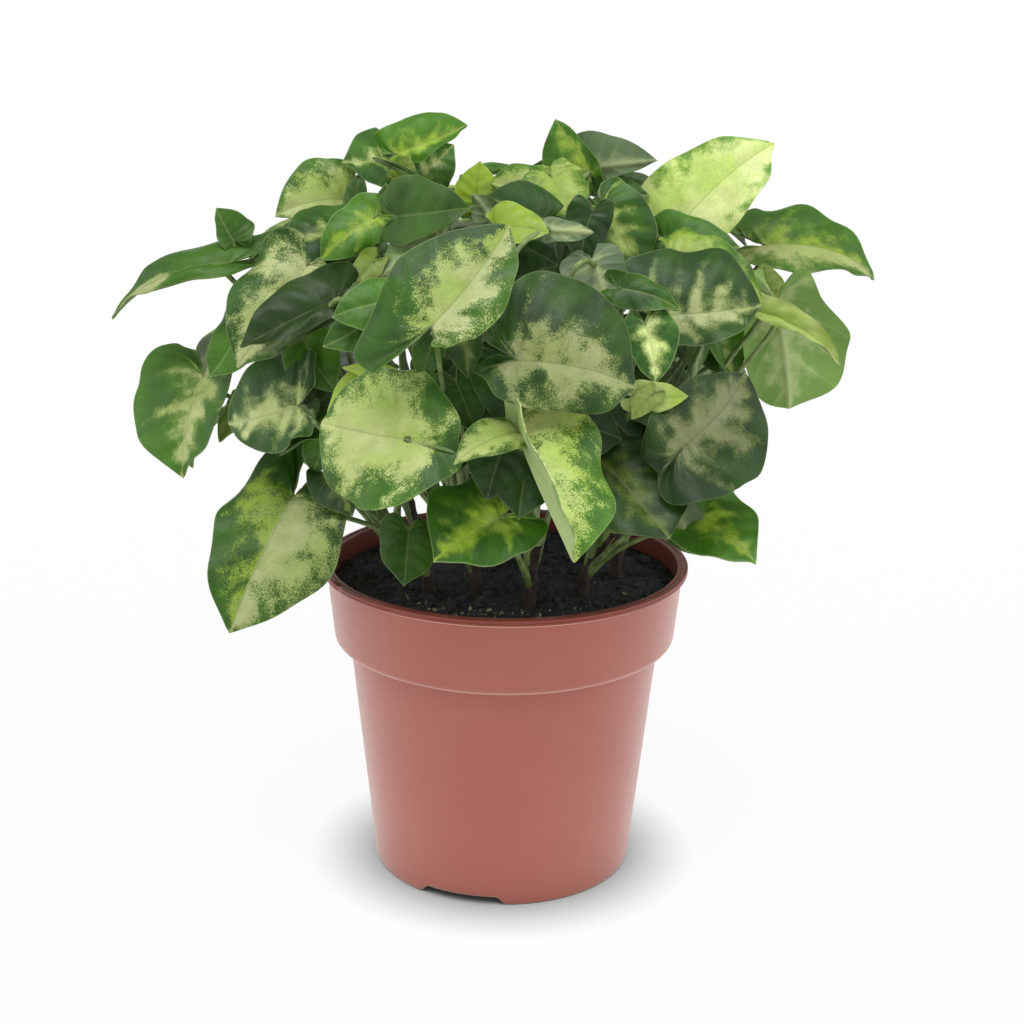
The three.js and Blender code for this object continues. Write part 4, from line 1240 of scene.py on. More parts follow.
def normals_of(points, faces):
    """Where the surface looks at each point, as the sum of its faces' directions."""
    normals = np.zeros_like(points)
    for corners in faces:
        a, b, c = points[corners[0]], points[corners[1]], points[corners[2]]
        crossed = np.cross(b - a, c - a)
        if len(corners) == 4:
            crossed = crossed + np.cross(c - a, points[corners[3]] - a)
        normals[corners] += crossed
    return normals / np.maximum(np.linalg.norm(normals, axis=1, keepdims=True), 1e-9)


def open_edges(faces):
    """The edges that only one face has, in that face's direction."""
    edges = {}
    for corners in faces:
        for k, corner in enumerate(corners):
            if (corner, corners[k - 1]) in edges:
                del edges[(corner, corners[k - 1])]
            else:
                edges[(corners[k - 1], corner)] = True
    return list(edges)


print("a square has", len(open_edges([[0, 1, 2, 3]])), "open edges")


# %% A whole blade
def build_blade(form, tone_with_painted_light):
    """Points, faces, face materials and named values of a whole blade."""
    length = np.linalg.norm(form["tip"] - form["at"])
    rows, columns = SMALL_GRID if length < SMALL_BLADE_MM else LARGE_GRID
    halves = [half_blade(form, side, rows, columns) for side in (0, 1)]
    places = np.concatenate([half[0].reshape(-1, 3) for half in halves])
    middle, first, faces = join_halves(places, rows, columns)
    phase, spacing, from_rib, from_margin, pale, swell = [
        np.concatenate([half[k].ravel() for half in halves])[first] for k in range(1, 7)]
    normals = normals_of(middle, faces)
    ridge = RIDGE_MM * np.exp(-(from_rib / RIDGE_WIDTH_MM) ** 2)
    top = middle + normals * (SHEET_MM / 2 + swell)[:, None]
    bottom = middle - normals * (SHEET_MM / 2 - swell + ridge)[:, None]
    count = len(middle)
    below = [[corner + count for corner in reversed(corners)] for corners in faces]
    strip = [(b, a, a + count, b + count) for a, b in open_edges(faces)]
    kinds = [0] * len(faces) + [1] * len(below) + [0] * len(strip)
    _, _, creamy, deep, grainy = LOOKS[form["look"]]
    half = np.repeat([0, 1], (rows + 1) * (columns + 1))[first]
    creamy, deep, grainy = [
        np.where(half == 0, *both) if isinstance(both, tuple) else np.ones(count) * both
        for both in (form.get("creamy", creamy), form.get("deep", deep),
                     form.get("grainy", grainy))]
    values = {
        "leaf_look": np.stack([pale, creamy, deep], 1),
        "leaf_lines": np.stack([phase, spacing, from_rib], 1),
        "leaf_edge": np.stack([from_margin, grainy, np.ones(count) * tone_with_painted_light], 1)}
    return (np.concatenate([top, bottom]), faces + below + strip, kinds,
            {key: np.concatenate([rows, rows]) for key, rows in values.items()})


sample = build_blade(leaf((0, 0, 0), (30, 0, 0), (0, 45), "green"), 1)
print("a blade has", len(sample[0]), "points and", len(sample[1]), "faces")

# %% [markdown]
# ## Petioles and main stems
#
# Each petiole leaves the main stem, rises, and bows over to meet the blade from below at its
# joint. One cubic Bezier curve does this. Its foot is a sheath that wraps the stem, so it is
# thicker there. The main stem is a gentle curve too, with a slight ring at each petiole's foot.

# %% Curves of the stalks
STEM_DEPTH = 12
STEM_RADIUS = 2.1
STEM_TOP_RADIUS = 1.5
PETIOLE_STEPS = 22
PETIOLE_RISE = 0.15
PETIOLE_LEAN = 0.4
PETIOLE_REACH = 0.33
PETIOLE_SEAT = 0.07
PETIOLE_SUNK_MM = 0.35
ARRIVAL_UNDER = 0.75
ARRIVAL_ALONG = 0.35
THIN_MM = 0.78
SHEATH_MM, SHEATH_SHARE = 0.65, 0.16
JOINT_MM, JOINT_SHARE = 0.22, 0.05


def stem_place(stem, share):
    """A point on the main stem, from 0 at the soil to 1 at its top."""
    foot = np.array([*stem["base"], SOIL_Z], float)
    end = np.array(stem["top"], float)
    knee = np.array([*stem["base"], (SOIL_Z + end[2]) / 2], float)
    return (1 - share) ** 2 * foot + 2 * (1 - share) * share * knee + share ** 2 * end


def petiole_path(form, foot):
    """Points of the petiole from its foot on the stem to the blade's underside."""
    _, along, _, up = blade_axes(form)
    zero = np.zeros(1)
    joint = blade_points(form, zero + PETIOLE_SEAT, zero, 0, zero, zero)[0]
    angle = -math.radians(form["bend"]) / 2
    under = up * math.cos(angle) + along * math.sin(angle)
    rib = along * math.cos(angle) - up * math.sin(angle)
    chord = joint - foot
    reach = np.linalg.norm(chord)
    arrival = unit(under * ARRIVAL_UNDER + rib * ARRIVAL_ALONG + chord / reach * ARRIVAL_ALONG)
    rise = foot + chord * PETIOLE_LEAN + (0, 0, reach * PETIOLE_RISE)
    before = joint - arrival * reach * PETIOLE_REACH
    joint = joint - under * PETIOLE_SUNK_MM
    t = np.linspace(0, 1, PETIOLE_STEPS + 1)[:, None]
    return ((1 - t) ** 3 * foot + 3 * (1 - t) ** 2 * t * rise
            + 3 * (1 - t) * t ** 2 * before + t ** 3 * joint)


def petiole_radii():
    """Thick at the sheath, thin in the middle and a little thicker at the joint."""
    t = np.linspace(0, 1, PETIOLE_STEPS + 1)
    sheath = SHEATH_MM * np.exp(-(t / SHEATH_SHARE) ** 2)
    return THIN_MM + sheath + JOINT_MM * np.exp(-((1 - t) / JOINT_SHARE) ** 2)


print("a petiole is", round(float(petiole_radii().min()) * 2, 1), "mm thick at its thinnest")

# %% [markdown]
# ## The plant, leaf by leaf
#
# This table is the plant: thirteen short stems, each with its leaves from the lowest up. A leaf
# is its joint, its tip, where its top faces and its look. Then comes what sets it apart: width,
# full and lobes shape its outline, fold, cup, bend, wave, sway, flick and twist bend it, shut
# closes the gap between its lobes, and tone, reach, creamy, deep, grainy and marks colour it.
# Tone is partly the leaf's own and partly painted light and shade: below one on leaves in shade,
# above one on leaves with a sheen and on leaves with light shining through them. A pair is the
# left half and the right half.
#
# Leaves marked inner fill the dark heart of the plant. The frame leaves those out, because each
# hides behind others, so they take no part in the count that spaces the petioles along a stem.

# %% A list for the stems
STEMS = []
print("an empty bed")

# %% The front left stem
STEMS.append({"name": "front_left", "base": (-24, -20), "top": (-34, -26, 122), "leaves": [
    leaf((-29, -46, 126), (-30, -54, 112), (5, 25), "green", width=1.05, bend=15, deep=0.45, tone=0.6),
    leaf((-65, -36, 134), (-83, -56, 97), (-5, 35), "cream",
        width=(0.84, 0.78), full=1, lobes=(0.75, 1.35), fold=(8, 5), bend=24, sway=0,
        reach=(0.95, 0.42), creamy=(0.75, 0), grainy=1, tone=0.72,
        marks=((0.03, -0.24, 0.22, 0.5), (-0.15, -0.5, 0.25, -0.5), (0.45, -0.1, 0.1, -1),
               (0.68, 0.05, 0.12, -0.7), (0.09, 0.26, 0.09, -0.6), (-0.2, 0, 0.2, -1.9))),
    leaf((-28, -80, 164), (-52, -66, 165), (0, 25), "cream",
        width=(1.5, 1.4), full=1.1, lobes=1.75, bend=34, shut=0.42, sway=0.03, reach=(0.85, 0.9),
        creamy=(0.65, 0.5), grainy=1, tone=0.95,
        marks=((-0.12, -0.42, 0.18, -1.1), (-0.46, -0.03, 0.2, -1.2), (-0.4, 0.3, 0.16, -1),
               (0.09, 0.55, 0.26, -0.7), (0.95, -0.15, 0.2, -0.5), (0.85, 0.35, 0.2, -0.4),
               (0.3, 0, 0.3, 0.4), (-0.18, 0.21, 0.13, 0.7), (-0.03, 0, 0.05, -2.5))),
    leaf((-54, -38, 141), (-46, -46, 131), (10, 20), "mid", width=0.9, bend=15, inner=True),
    leaf((-36, -26, 140), (-38, -32, 130), (-5, 15), "dark", width=0.9, bend=12, inner=True),
]})
print(STEMS[-1]["name"], "has", len(STEMS[-1]["leaves"]), "leaves")

# %% The left stem
STEMS.append({"name": "left", "base": (-34, -4), "top": (-46, -8, 128), "leaves": [
    leaf((-90, 8, 152), (-106, 14, 130), (-100, 25), "green"),
    leaf((-55, -32, 154), (-59, -34, 141), (-10, 15), "green", width=0.9, bend=10, deep=0.3),
    leaf((-62, -42, 164), (-86, -28, 155), (-10, 30), "grey_painted_sheen",
        width=(0.8, 1.5), lobes=0.6, bend=25, reach=(0.4, 0.2), feather=0.16, creamy=1, grainy=0.3,
        deep=1.1, tone=1),
    leaf((-95, -12, 166), (-100, -26, 137), (-8, 22), "star",
        width=(0.75, 1.3), full=1, fold=(40, 0), bend=22, reach=(0.5, 0.1), feather=0.22, creamy=0.7,
        deep=(0.6, 0.15), tone=0.75),
    leaf((-61, -30, 181), (-51, -36, 167), (-5, 20), "green", width=0.9, bend=25, deep=0.2),
    leaf((-82, -18, 183), (-91, -22, 168), (-20, 20), "green", width=0.9, bend=15, deep=0.4),
    leaf((-51, -44, 196), (-77, -50, 183), (0, 32), "green",
        width=(0.35, 0.7), full=1.1, fold=(25, 10), bend=20, sway=0, deep=0.3, tone=0.27),
    leaf((-60, -30, 204), (-80, -44, 176), (-8, 30), "cream",
        width=(0.6, 0.85), full=1.1, lobes=0.4, bend=30, reach=(0.7, 0.6), creamy=0.9, deep=0.85,
        grainy=0.8, tone=0.78),
    leaf((-61, -38, 162), (-68, -40, 148), (170, 0), "under", width=0.55, bend=15, inner=True),
    leaf((-50, -44, 195), (-72, -52, 182), (150, -20), "under",
        width=0.3, fold=(30, 30), bend=15, inner=True),
    leaf((-59, -30, 162), (-73, -24, 174), (170, -10), "under", width=0.8, bend=15, inner=True),
    leaf((-85, -12, 157), (-90, -16, 146), (-10, 20), "lime", width=0.6, bend=10, inner=True),
    leaf((-52, -26, 162), (-66, -42, 150), (-40, 50), "green", inner=True),
    leaf((-66, 12, 172), (-80, 14, 150), (-95, 30), "green", inner=True),
]})
print(STEMS[-1]["name"], "has", len(STEMS[-1]["leaves"]), "leaves")

# %% The far left stem
STEMS.append({"name": "far_left", "base": (-30, 14), "top": (-40, 16, 140), "leaves": [
    leaf((-64, 10, 197), (-80, 8, 172), (-85, 35), "green"),
    leaf((-85, -20, 203), (-122, -16, 185), (-5, 45), "green",
        width=(0.25, 0.55), full=0.8, lobes=1.5, bend=50, twist=60, sway=-0.05, deep=0.2, tone=0.74,
        creamy=0.9,
        marks=((0.5, 0.06, 0.09, 2), (0.63, 0.06, 0.11, 2.3), (0.76, 0.04, 0.1, 2.3),
               (0.88, 0.02, 0.07, 1.8))),
    leaf((-42, -12, 205), (-68, -16, 206), (180, -20), "under", width=0.3, bend=15),
    leaf((-84, -16, 210), (-89, -14, 219), (-10, 15), "green",
        width=(0.7, 1.5), full=0.4, bend=12, wave=0.1, deep=0.5, tone=0.8),
    leaf((-50, -12, 212), (-69, -20, 209), (0, 45), "mid",
        width=1.15, bend=15, reach=(0.08, 0.08), creamy=0.8, deep=0.8),
    leaf((-57, 8, 215), (-80, 4, 205), (-85, 60), "star"),
    leaf((-41, -19, 217), (-57, -25, 205), (-5, 30), "streak",
        width=0.75, bend=25, reach=(0.3, 0.25), creamy=0, deep=0.2),
    leaf((-52, 4, 220), (-72, -6, 216), (-10, 20), "cream",
        width=(0.8, 1.2), bend=15, wave=0.06, reach=(0.7, 0.7), creamy=0.6, deep=0.4, grainy=0.8),
    leaf((-44, -12, 203), (-55, -16, 191), (0, 20), "dark", bend=15, inner=True),
]})
print(STEMS[-1]["name"], "has", len(STEMS[-1]["leaves"]), "leaves")

# %% The top left stem
STEMS.append({"name": "top_left", "base": (-14, 8), "top": (-20, 8, 150), "leaves": [
    leaf((-21, -30, 212), (-39, -36, 201), (180, -15), "under", width=(0.7, 0.7), bend=15),
    leaf((-38, -6, 213), (-38, -4, 226), (0, 20), "green", width=0.8, bend=15, deep=0.35),
    leaf((-32, -28, 219), (-11, -36, 223), (0, 25), "green",
        width=(0.95, 0.8), fold=(20, 20), bend=25, deep=0.25, tone=0.58),
    leaf((-22, 28, 221), (-38, 48, 214), (-155, 60), "cream", creamy=0.6, deep=0.4),
    leaf((-30, 20, 224), (-18, 24, 235), (0, 25), "mid",
        width=(1, 1.1), bend=20, wave=0.06, reach=(0.15, 0.1), creamy=0.9, deep=0.55),
    leaf((-34, 12, 231), (-52, 0, 231), (-10, 30), "mid",
        width=(0.9, 1.2), reach=(0.12, 0.15), creamy=0.8, deep=0.6),
    leaf((-35, 6, 234), (-13, 2, 243), (5, 30), "streak",
        width=(0.85, 0.35), full=1.3, cup=(35, 25), bend=15, reach=(0.14, 0.3), feather=0.08, creamy=0,
        deep=0.15),
    leaf((-34, 0, 227), (-31, 0, 234), (0, 20), "lime", bend=20, inner=True),
    leaf((-25, -6, 226), (-42, -4, 233), (0, 50), "green",
        width=0.2, fold=(50, 50), bend=10, inner=True),
    leaf((-34, -14, 217), (-32, -12, 229), (180, -10), "under", width=0.6, bend=15, inner=True),
    leaf((-47, -4, 216), (-46, 0, 229), (0, 20), "green", width=0.6, bend=15, inner=True),
]})
print(STEMS[-1]["name"], "has", len(STEMS[-1]["leaves"]), "leaves")

# %% The front centre stem
STEMS.append({"name": "front_centre", "base": (-9, -24), "top": (-14, -34, 130), "leaves": [
    leaf((-46, -54, 163), (-42, -52, 180), (0, 18), "lime", width=0.75, bend=15, creamy=0, deep=0.2),
    leaf((-14, -60, 175), (-8, -64, 161), (0, 15), "dark", width=0.7, bend=15, deep=0.7),
    leaf((-31, -58, 175), (-47, -58, 179), (0, 40), "lime", width=0.4, bend=15),
    leaf((-41, -52, 191), (-53, -56, 185), (0, 25), "dark", width=0.8, bend=15, deep=0.8),
    leaf((-20, -84, 197), (0, -68, 221), (0, 28), "cream",
        width=(1, 0.62), full=1.2, lobes=(1.65, 0.35), fold=(5, 20), bend=25, wave=0.04, sway=-0.04,
        reach=(0.4, 0.8), feather=0.14, creamy=(0.5, 0.9), grainy=1, deep=(0.8, 0.5), tone=0.8,
        marks=((-0.24, 0.33, 0.3, -1), (0.3, 0.08, 0.2, 0.7), (0.21, 0.42, 0.2, 0.1),
               (0.27, -0.17, 0.1, -1), (0.6, -0.12, 0.12, -0.6))),
    leaf((-32, -54, 198), (-50, -58, 194), (-5, 30), "green", width=(1, 0.8), bend=25, deep=0.35),
    leaf((-20, -66, 192), (-24, -68, 177), (0, 20), "green", width=0.6, bend=15, inner=True, deep=0.4),
    leaf((-14, -62, 193), (-11, -64, 178), (10, 20), "mid",
        width=0.75, bend=15, inner=True, reach=(0.15, 0.15), creamy=0.3, deep=0.5),
    leaf((-40, -34, 206), (-49, -40, 198), (0, 30), "lime", width=0.6, bend=15, inner=True),
    leaf((-10, -48, 184), (-24, -50, 169), (0, 15), "dark", width=1.2, bend=12, inner=True),
    leaf((-17, -38, 156), (-19, -44, 142), (0, 15), "dark", width=1.1, bend=12, inner=True),
    leaf((-34, -34, 172), (-46, -54, 162), (-20, 60), "green", inner=True),
]})
print(STEMS[-1]["name"], "has", len(STEMS[-1]["leaves"]), "leaves")

# %% The front stem
STEMS.append({"name": "front", "base": (8, -30), "top": (10, -42, 122), "leaves": [
    leaf((-1, -62, 136), (-20, -78, 128), (-5, 36), "star",
        width=(0.95, 1.45), lobes=(1.2, 1.5), bend=20, wave=0.06, sway=0, reach=(0.22, 0.26),
        feather=0.16, creamy=0, deep=0.6, grainy=0.2, tone=1.3),
    leaf((4, -74, 164), (20, -96, 134), (8, 35), "cream",
        width=(1.08, 0.7), full=1.3, lobes=(1.1, 0.35), fold=(5, 95), bend=36, sway=-0.04,
        reach=(0.55, 1.2), creamy=(0.5, 1), grainy=1, deep=0.4, tone=1.16,
        marks=((0, 0.3, 0.15, 0.6), (0.3, 0.62, 0.14, 0.5))),
    leaf((3, -76, 165), (-14, -88, 159), (-10, 45), "cream",
        width=0.6, fold=(20, 20), bend=60, creamy=0.6),
    leaf((5, -62, 173), (-11, -60, 179), (0, 20), "dark", width=1.1, bend=15, deep=0.75),
    leaf((3, -72, 185), (37, -72, 178), (5, 28), "cream",
        width=(1.36, 0.76), full=1.3, lobes=(0.95, 0.75), bend=20, sway=0.04, reach=(0.34, 0.85),
        feather=0.2, creamy=0.85, deep=(0.75, 0.6), grainy=0.8, tone=0.66,
        marks=((0.24, 0.5, 0.2, -0.8), (0.42, 0.18, 0.2, 0.5), (0.84, 0.3, 0.2, -0.6),
               (0.12, 0.3, 0.08, 0.5), (0.22, -0.13, 0.11, -1.1), (0.65, -0.2, 0.14, -0.7),
               (-0.22, 0.3, 0.2, -0.7), (-0.3, -0.25, 0.22, -1.2))),
    leaf((-2, -64, 162), (2, -62, 172), (0, 15), "mid", width=0.9, bend=15, inner=True),
    leaf((15, -56, 163), (34, -54, 158), (10, 20), "dark", width=1.1, bend=15, inner=True),
    leaf((0, -50, 170), (-10, -52, 156), (0, 15), "dark", width=1.1, bend=12, inner=True),
    leaf((27, -48, 167), (39, -50, 155), (5, 15), "dark", width=1.1, bend=12, inner=True),
    leaf((0, -72, 162), (-5, -78, 146), (0, 15), "dark", width=1.1, bend=12, inner=True),
    leaf((8, -70, 159), (4, -80, 141), (0, 15), "dark", bend=12, inner=True),
    leaf((-11, -30, 139), (-15, -36, 127), (-5, 15), "green", bend=12, inner=True),
]})
print(STEMS[-1]["name"], "has", len(STEMS[-1]["leaves"]), "leaves")

# %% The front right stem
STEMS.append({"name": "front_right", "base": (25, -20), "top": (34, -28, 122), "leaves": [
    leaf((55, -42, 134), (74, -60, 122), (22, 38), "streak",
        width=0.95, full=0.8, bend=22, reach=(0.2, 0.15), creamy=0, deep=0.2),
    leaf((59, -44, 148), (48, -46, 131), (10, 20), "green", bend=15, deep=0.4),
    leaf((27, -54, 153), (47, -72, 133), (12, 32), "streak",
        width=(1.2, 0.9), full=1.2, bend=22, reach=(0.1, 0.08), creamy=0.2, deep=0.5, tone=0.4),
    leaf((51, -62, 158), (71, -44, 177), (12, 28), "star",
        width=(0.82, 1.22), full=0.8, lobes=(1, 1.3), bend=20, wave=0.04, shut=0.35, sway=-0.05,
        reach=(0.5, 0.42), feather=0.2, creamy=0.95, deep=0.6, grainy=0.4, tone=0.38,
        marks=((-0.38, -0.1, 0.25, -1.2),)),
    leaf((38, -58, 172), (53, -56, 172), (10, 30), "lime", width=0.6, bend=15, creamy=0.3),
    leaf((40, -50, 191), (43, -54, 175), (5, 22), "grey_painted_sheen",
        width=(1, 0.8), bend=20, reach=(0.35, 0.2), feather=0.1, creamy=1, deep=1, grainy=0.3,
        tone=1.4),
    leaf((51, -50, 135), (59, -52, 122), (200, -10), "under", width=0.9, bend=15, inner=True),
    leaf((42, -60, 173), (36, -62, 166), (10, 20), "lime", width=0.7, bend=15, inner=True),
    leaf((32, -36, 144), (30, -42, 129), (5, 15), "dark", bend=12, inner=True),
]})
print(STEMS[-1]["name"], "has", len(STEMS[-1]["leaves"]), "leaves")

# %% The right stem
STEMS.append({"name": "right", "base": (36, -2), "top": (48, -4, 128), "leaves": [
    leaf((62, -19, 158), (69, -24, 128), (80, 20), "cream", wave=0.04),
    leaf((71, 14, 160), (78, 12, 129), (90, 25), "streak", wave=0.03, sway=0, flick=0),
    leaf((65, 4, 181), (73, 0, 165), (10, 20), "mid",
        bend=25, wave=0.03, sway=0, flick=0, reach=(0.1, 0.1), deep=0.4),
    leaf((60, -6, 188), (68, -9, 162), (85, 30), "green", width=0.85, wave=0.04),
    leaf((77, -14, 189), (103, -22, 175), (10, 50), "lime",
        width=0.35, fold=(45, 45), creamy=0.5, tone=0.9),
    leaf((84, -6, 190), (90, -6, 157), (185, -12), "under",
        width=(0.62, 0.92), full=2.6, bend=40, deep=0.1, reach=(0.5, 0.5), tone=1.1),
    leaf((63, -22, 192), (56, -28, 169), (180, -10), "under", width=0.3, bend=10),
    leaf((47, -38, 192), (76, -34, 195), (8, 30), "veins",
        width=(1.5, 0.6), full=1.3, lobes=1.5, bend=15, reach=(0.15, 0.5), feather=0.26, creamy=1,
        grainy=0.3, deep=0.95, tone=0.73),
    leaf((33, -46, 201), (50, -50, 196), (0, 30), "dark", width=0.6, bend=15, deep=0.8),
    leaf((82, 4, 190), (81, 8, 201), (10, 20), "lime", width=1.1, bend=15, inner=True),
    leaf((36, -30, 170), (48, -50, 158), (25, 60), "green", inner=True),
]})
print(STEMS[-1]["name"], "has", len(STEMS[-1]["leaves"]), "leaves")

# %% The top right stem
STEMS.append({"name": "top_right", "base": (27, 15), "top": (38, 18, 145), "leaves": [
    leaf((58, 17, 200), (66, 19, 179), (85, 30), "green"),
    leaf((83, 18, 205), (121, 22, 195), (15, 50), "star",
        width=(0.85, 0.6), full=0.8, bend=36, sway=0.06, flick=-0.06, reach=(0.2, 0.8), feather=0.14,
        creamy=(0.1, 0.8), deep=0.16, tone=0.86),
    leaf((52, -20, 205), (77, -26, 194), (10, 35), "lime",
        width=(0.9, 0.5), bend=30, reach=(0.8, 1.2), creamy=0.1),
    leaf((49, -6, 210), (71, -10, 208), (0, 30), "green", width=(0.8, 0.7), bend=25, deep=0.3),
    leaf((53, 4, 212), (83, 10, 239), (-8, 30), "lime",
        width=(0.78, 0.66), full=1, fold=(10, 26), bend=18, wave=0.07, sway=0.03, reach=(1, 1.2),
        creamy=(0.6, 0.8), grainy=0.4, tone=1.35),
    leaf((56, 24, 216), (78, 30, 203), (95, 60), "cream", reach=(0.6, 0.8), creamy=0.4, deep=0.3),
    leaf((29, -8, 219), (42, -14, 199), (5, 22), "streak",
        width=0.95, bend=20, wave=0.03, sway=0, flick=0, reach=(0.2, 0.2), feather=0.2, creamy=0.4,
        deep=0.7),
    leaf((28, 8, 221), (44, 6, 222), (0, 30), "dark",
        width=0.9, bend=15, wave=0.03, sway=0, flick=0, deep=0.75),
    leaf((49, 0, 213), (45, -6, 199), (0, 20), "under", width=0.4, fold=(40, 40), bend=15, inner=True),
    leaf((35, 14, 223), (47, 14, 225), (0, 30), "mid", width=0.9, bend=15, inner=True),
    leaf((30, -8, 184), (42, -28, 178), (25, 65), "dark", inner=True),
]})
print(STEMS[-1]["name"], "has", len(STEMS[-1]["leaves"]), "leaves")

# %% The top stem
STEMS.append({"name": "top", "base": (6, 4), "top": (8, 0, 148), "leaves": [
    leaf((25, -34, 207), (29, -40, 196), (180, -15), "under", width=1.4, bend=20, deep=0.95, tone=0.95),
    leaf((11, -32, 216), (25, -36, 216), (180, -20), "under",
        width=0.5, bend=10, deep=0.9, reach=(0.6, 0.6)),
    leaf((10, -14, 217), (-8, -16, 223), (0, 35), "dark", bend=15, deep=0.9),
    leaf((-3, -30, 217), (12, -36, 216), (0, 35), "lime", width=0.9, creamy=0),
    leaf((-10, -6, 220), (-9, -4, 233), (0, 20), "lime", bend=20, creamy=0),
    leaf((-2, 20, 224), (-8, 44, 217), (-170, 62), "green"),
    leaf((11, 0, 225), (-6, -6, 227), (0, 30), "cream",
        width=0.9, bend=15, reach=(0.8, 0.8), creamy=0.35, deep=0.2),
    leaf((13, -2, 228), (20, -12, 216), (5, 25), "cream",
        width=1.15, bend=20, wave=0.03, sway=0, flick=0, reach=(0.8, 0.6), creamy=0.35, deep=0.2),
    leaf((14, 12, 228), (25, 32, 226), (150, 68), "green"),
    leaf((25, 6, 229), (14, 8, 245), (-5, 25), "streak",
        width=(1.1, 0.35), full=1.2, bend=15, wave=0.03, sway=0, flick=0, reach=(0.16, 0.3), creamy=0,
        deep=0.35),
    leaf((26, 10, 230), (46, 4, 233), (185, -12), "under",
        width=(0.4, 1.05), full=0.2, lobes=1.8, bend=15, wave=0.03, sway=0, flick=0, deep=0.7,
        tone=0.75),
    leaf((21, 12, 225), (6, 12, 230), (0, 25), "mid", width=0.8, bend=15, inner=True),
    leaf((-5, -24, 217), (-11, -22, 225), (180, -10), "under", width=0.9, bend=15, inner=True),
    leaf((0, -24, 212), (15, -28, 205), (0, 25), "dark", width=1.1, bend=15, inner=True),
    leaf((6, -22, 197), (-3, -22, 206), (0, 25), "dark", width=1.2, bend=15, inner=True),
    leaf((25, -18, 219), (22, -22, 204), (0, 20), "dark", width=0.9, bend=12, inner=True),
    leaf((-12, -38, 178), (-18, -62, 168), (0, 60), "green", inner=True),
    leaf((14, -36, 174), (20, -60, 162), (5, 60), "star", inner=True),
    leaf((4, -14, 186), (6, -38, 180), (0, 65), "green", inner=True),
    leaf((-16, 6, 206), (-24, -14, 202), (-10, 70), "star", inner=True),
    leaf((-6, 20, 208), (-2, 2, 206), (10, 70), "green", inner=True),
    leaf((26, 12, 208), (36, 28, 198), (150, 55), "green", inner=True),
]})
print(STEMS[-1]["name"], "has", len(STEMS[-1]["leaves"]), "leaves")

# %% The back left stem
STEMS.append({"name": "back_left", "base": (-20, 32), "top": (-32, 46, 128), "leaves": [
    leaf((-70, 58, 152), (-88, 76, 126), (-135, 25), "streak"),
    leaf((-84, 24, 178), (-104, 36, 150), (-110, 30), "cream", creamy=0.5, grainy=0.7, deep=0.6),
    leaf((-42, 66, 178), (-56, 92, 152), (-160, 30), "green"),
    leaf((-62, 52, 200), (-88, 74, 176), (-135, 35), "star"),
    leaf((-20, 60, 206), (-34, 86, 190), (-170, 45), "cream", reach=(0.5, 0.8), creamy=0.4, deep=0.3),
    leaf((-44, 30, 216), (-66, 44, 204), (-130, 55), "cream", reach=(0.6, 0.6), creamy=0.7, deep=0.6),
    leaf((-28, 48, 192), (-42, 66, 168), (-150, 35), "streak", inner=True),
    leaf((-50, 42, 162), (-64, 56, 138), (-130, 30), "dark", inner=True),
    leaf((-40, 22, 190), (-52, 34, 168), (-130, 35), "green", inner=True),
]})
print(STEMS[-1]["name"], "has", len(STEMS[-1]["leaves"]), "leaves")

# %% The back stem
STEMS.append({"name": "back", "base": (2, 36), "top": (4, 54, 132), "leaves": [
    leaf((-24, 66, 140), (-34, 84, 112), (-165, 25), "green"),
    leaf((30, 70, 146), (40, 88, 118), (160, 25), "streak"),
    leaf((1, 78, 172), (0, 101, 142), (-175, 25), "cream", reach=(0.9, 0.6), creamy=0.6, deep=0.5),
    leaf((28, 72, 190), (38, 98, 164), (165, 30), "green"),
    leaf((4, 66, 210), (8, 99, 186), (180, 45), "star"),
    leaf((4, 42, 226), (8, 68, 218), (175, 65), "green"),
    leaf((12, 46, 202), (18, 66, 178), (170, 35), "green", inner=True),
    leaf((-10, 58, 168), (-16, 74, 142), (-170, 25), "star", inner=True),
    leaf((16, 60, 162), (22, 76, 136), (165, 25), "dark", inner=True),
    leaf((-12, 30, 206), (-18, 48, 194), (-165, 50), "star", inner=True),
]})
print(STEMS[-1]["name"], "has", len(STEMS[-1]["leaves"]), "leaves")

# %% The back right stem
STEMS.append({"name": "back_right", "base": (23, 33), "top": (34, 48, 128), "leaves": [
    leaf((60, 46, 136), (74, 64, 106), (135, 25), "green"),
    leaf((60, 56, 166), (80, 76, 138), (140, 25), "star"),
    leaf((80, 28, 176), (100, 44, 148), (115, 30), "green", wave=0.03, sway=0, flick=0),
    leaf((56, 48, 204), (80, 70, 184), (135, 40), "cream", reach=(0.6, 0.9), creamy=0.7, deep=0.6),
    leaf((38, 34, 222), (58, 54, 214), (140, 60), "cream", reach=(0.8, 0.5), creamy=0.5, deep=0.3),
    leaf((42, 46, 192), (56, 62, 168), (145, 35), "green", inner=True),
    leaf((52, 40, 158), (64, 54, 134), (130, 30), "streak", inner=True),
    leaf((50, 22, 184), (60, 34, 160), (120, 35), "green", inner=True),
]})
print(STEMS[-1]["name"], "has", len(STEMS[-1]["leaves"]), "leaves")

# %% [markdown]
# ## Grow it
#
# Each leafy stem becomes one object: its main stem, all its petioles and all its blades in one
# mesh with four materials. It takes the place of the frame's leafy stem of the same name.

# %% Where the petioles start, and the main stem
# An inner leaf with no tone of its own is darkened to this share: painted shade for the plant's dark
# heart.
INNER_PAINTED_SHADE = 0.6
INNER_LOW, INNER_HIGH = 120, 230
LOWEST_FOOT, HIGHEST_FOOT = 0.3, 0.97
FIRST_LEAF_SHARE = 0.25
OWN_TONE = (0.9, 1.08)
STEM_STEPS = 32
STEM_SIDES = 14
PETIOLE_SIDES = 10
NODE_RING_MM, NODE_RING_SHARE = 0.22, 0.025
SHARP_LEAF = 60


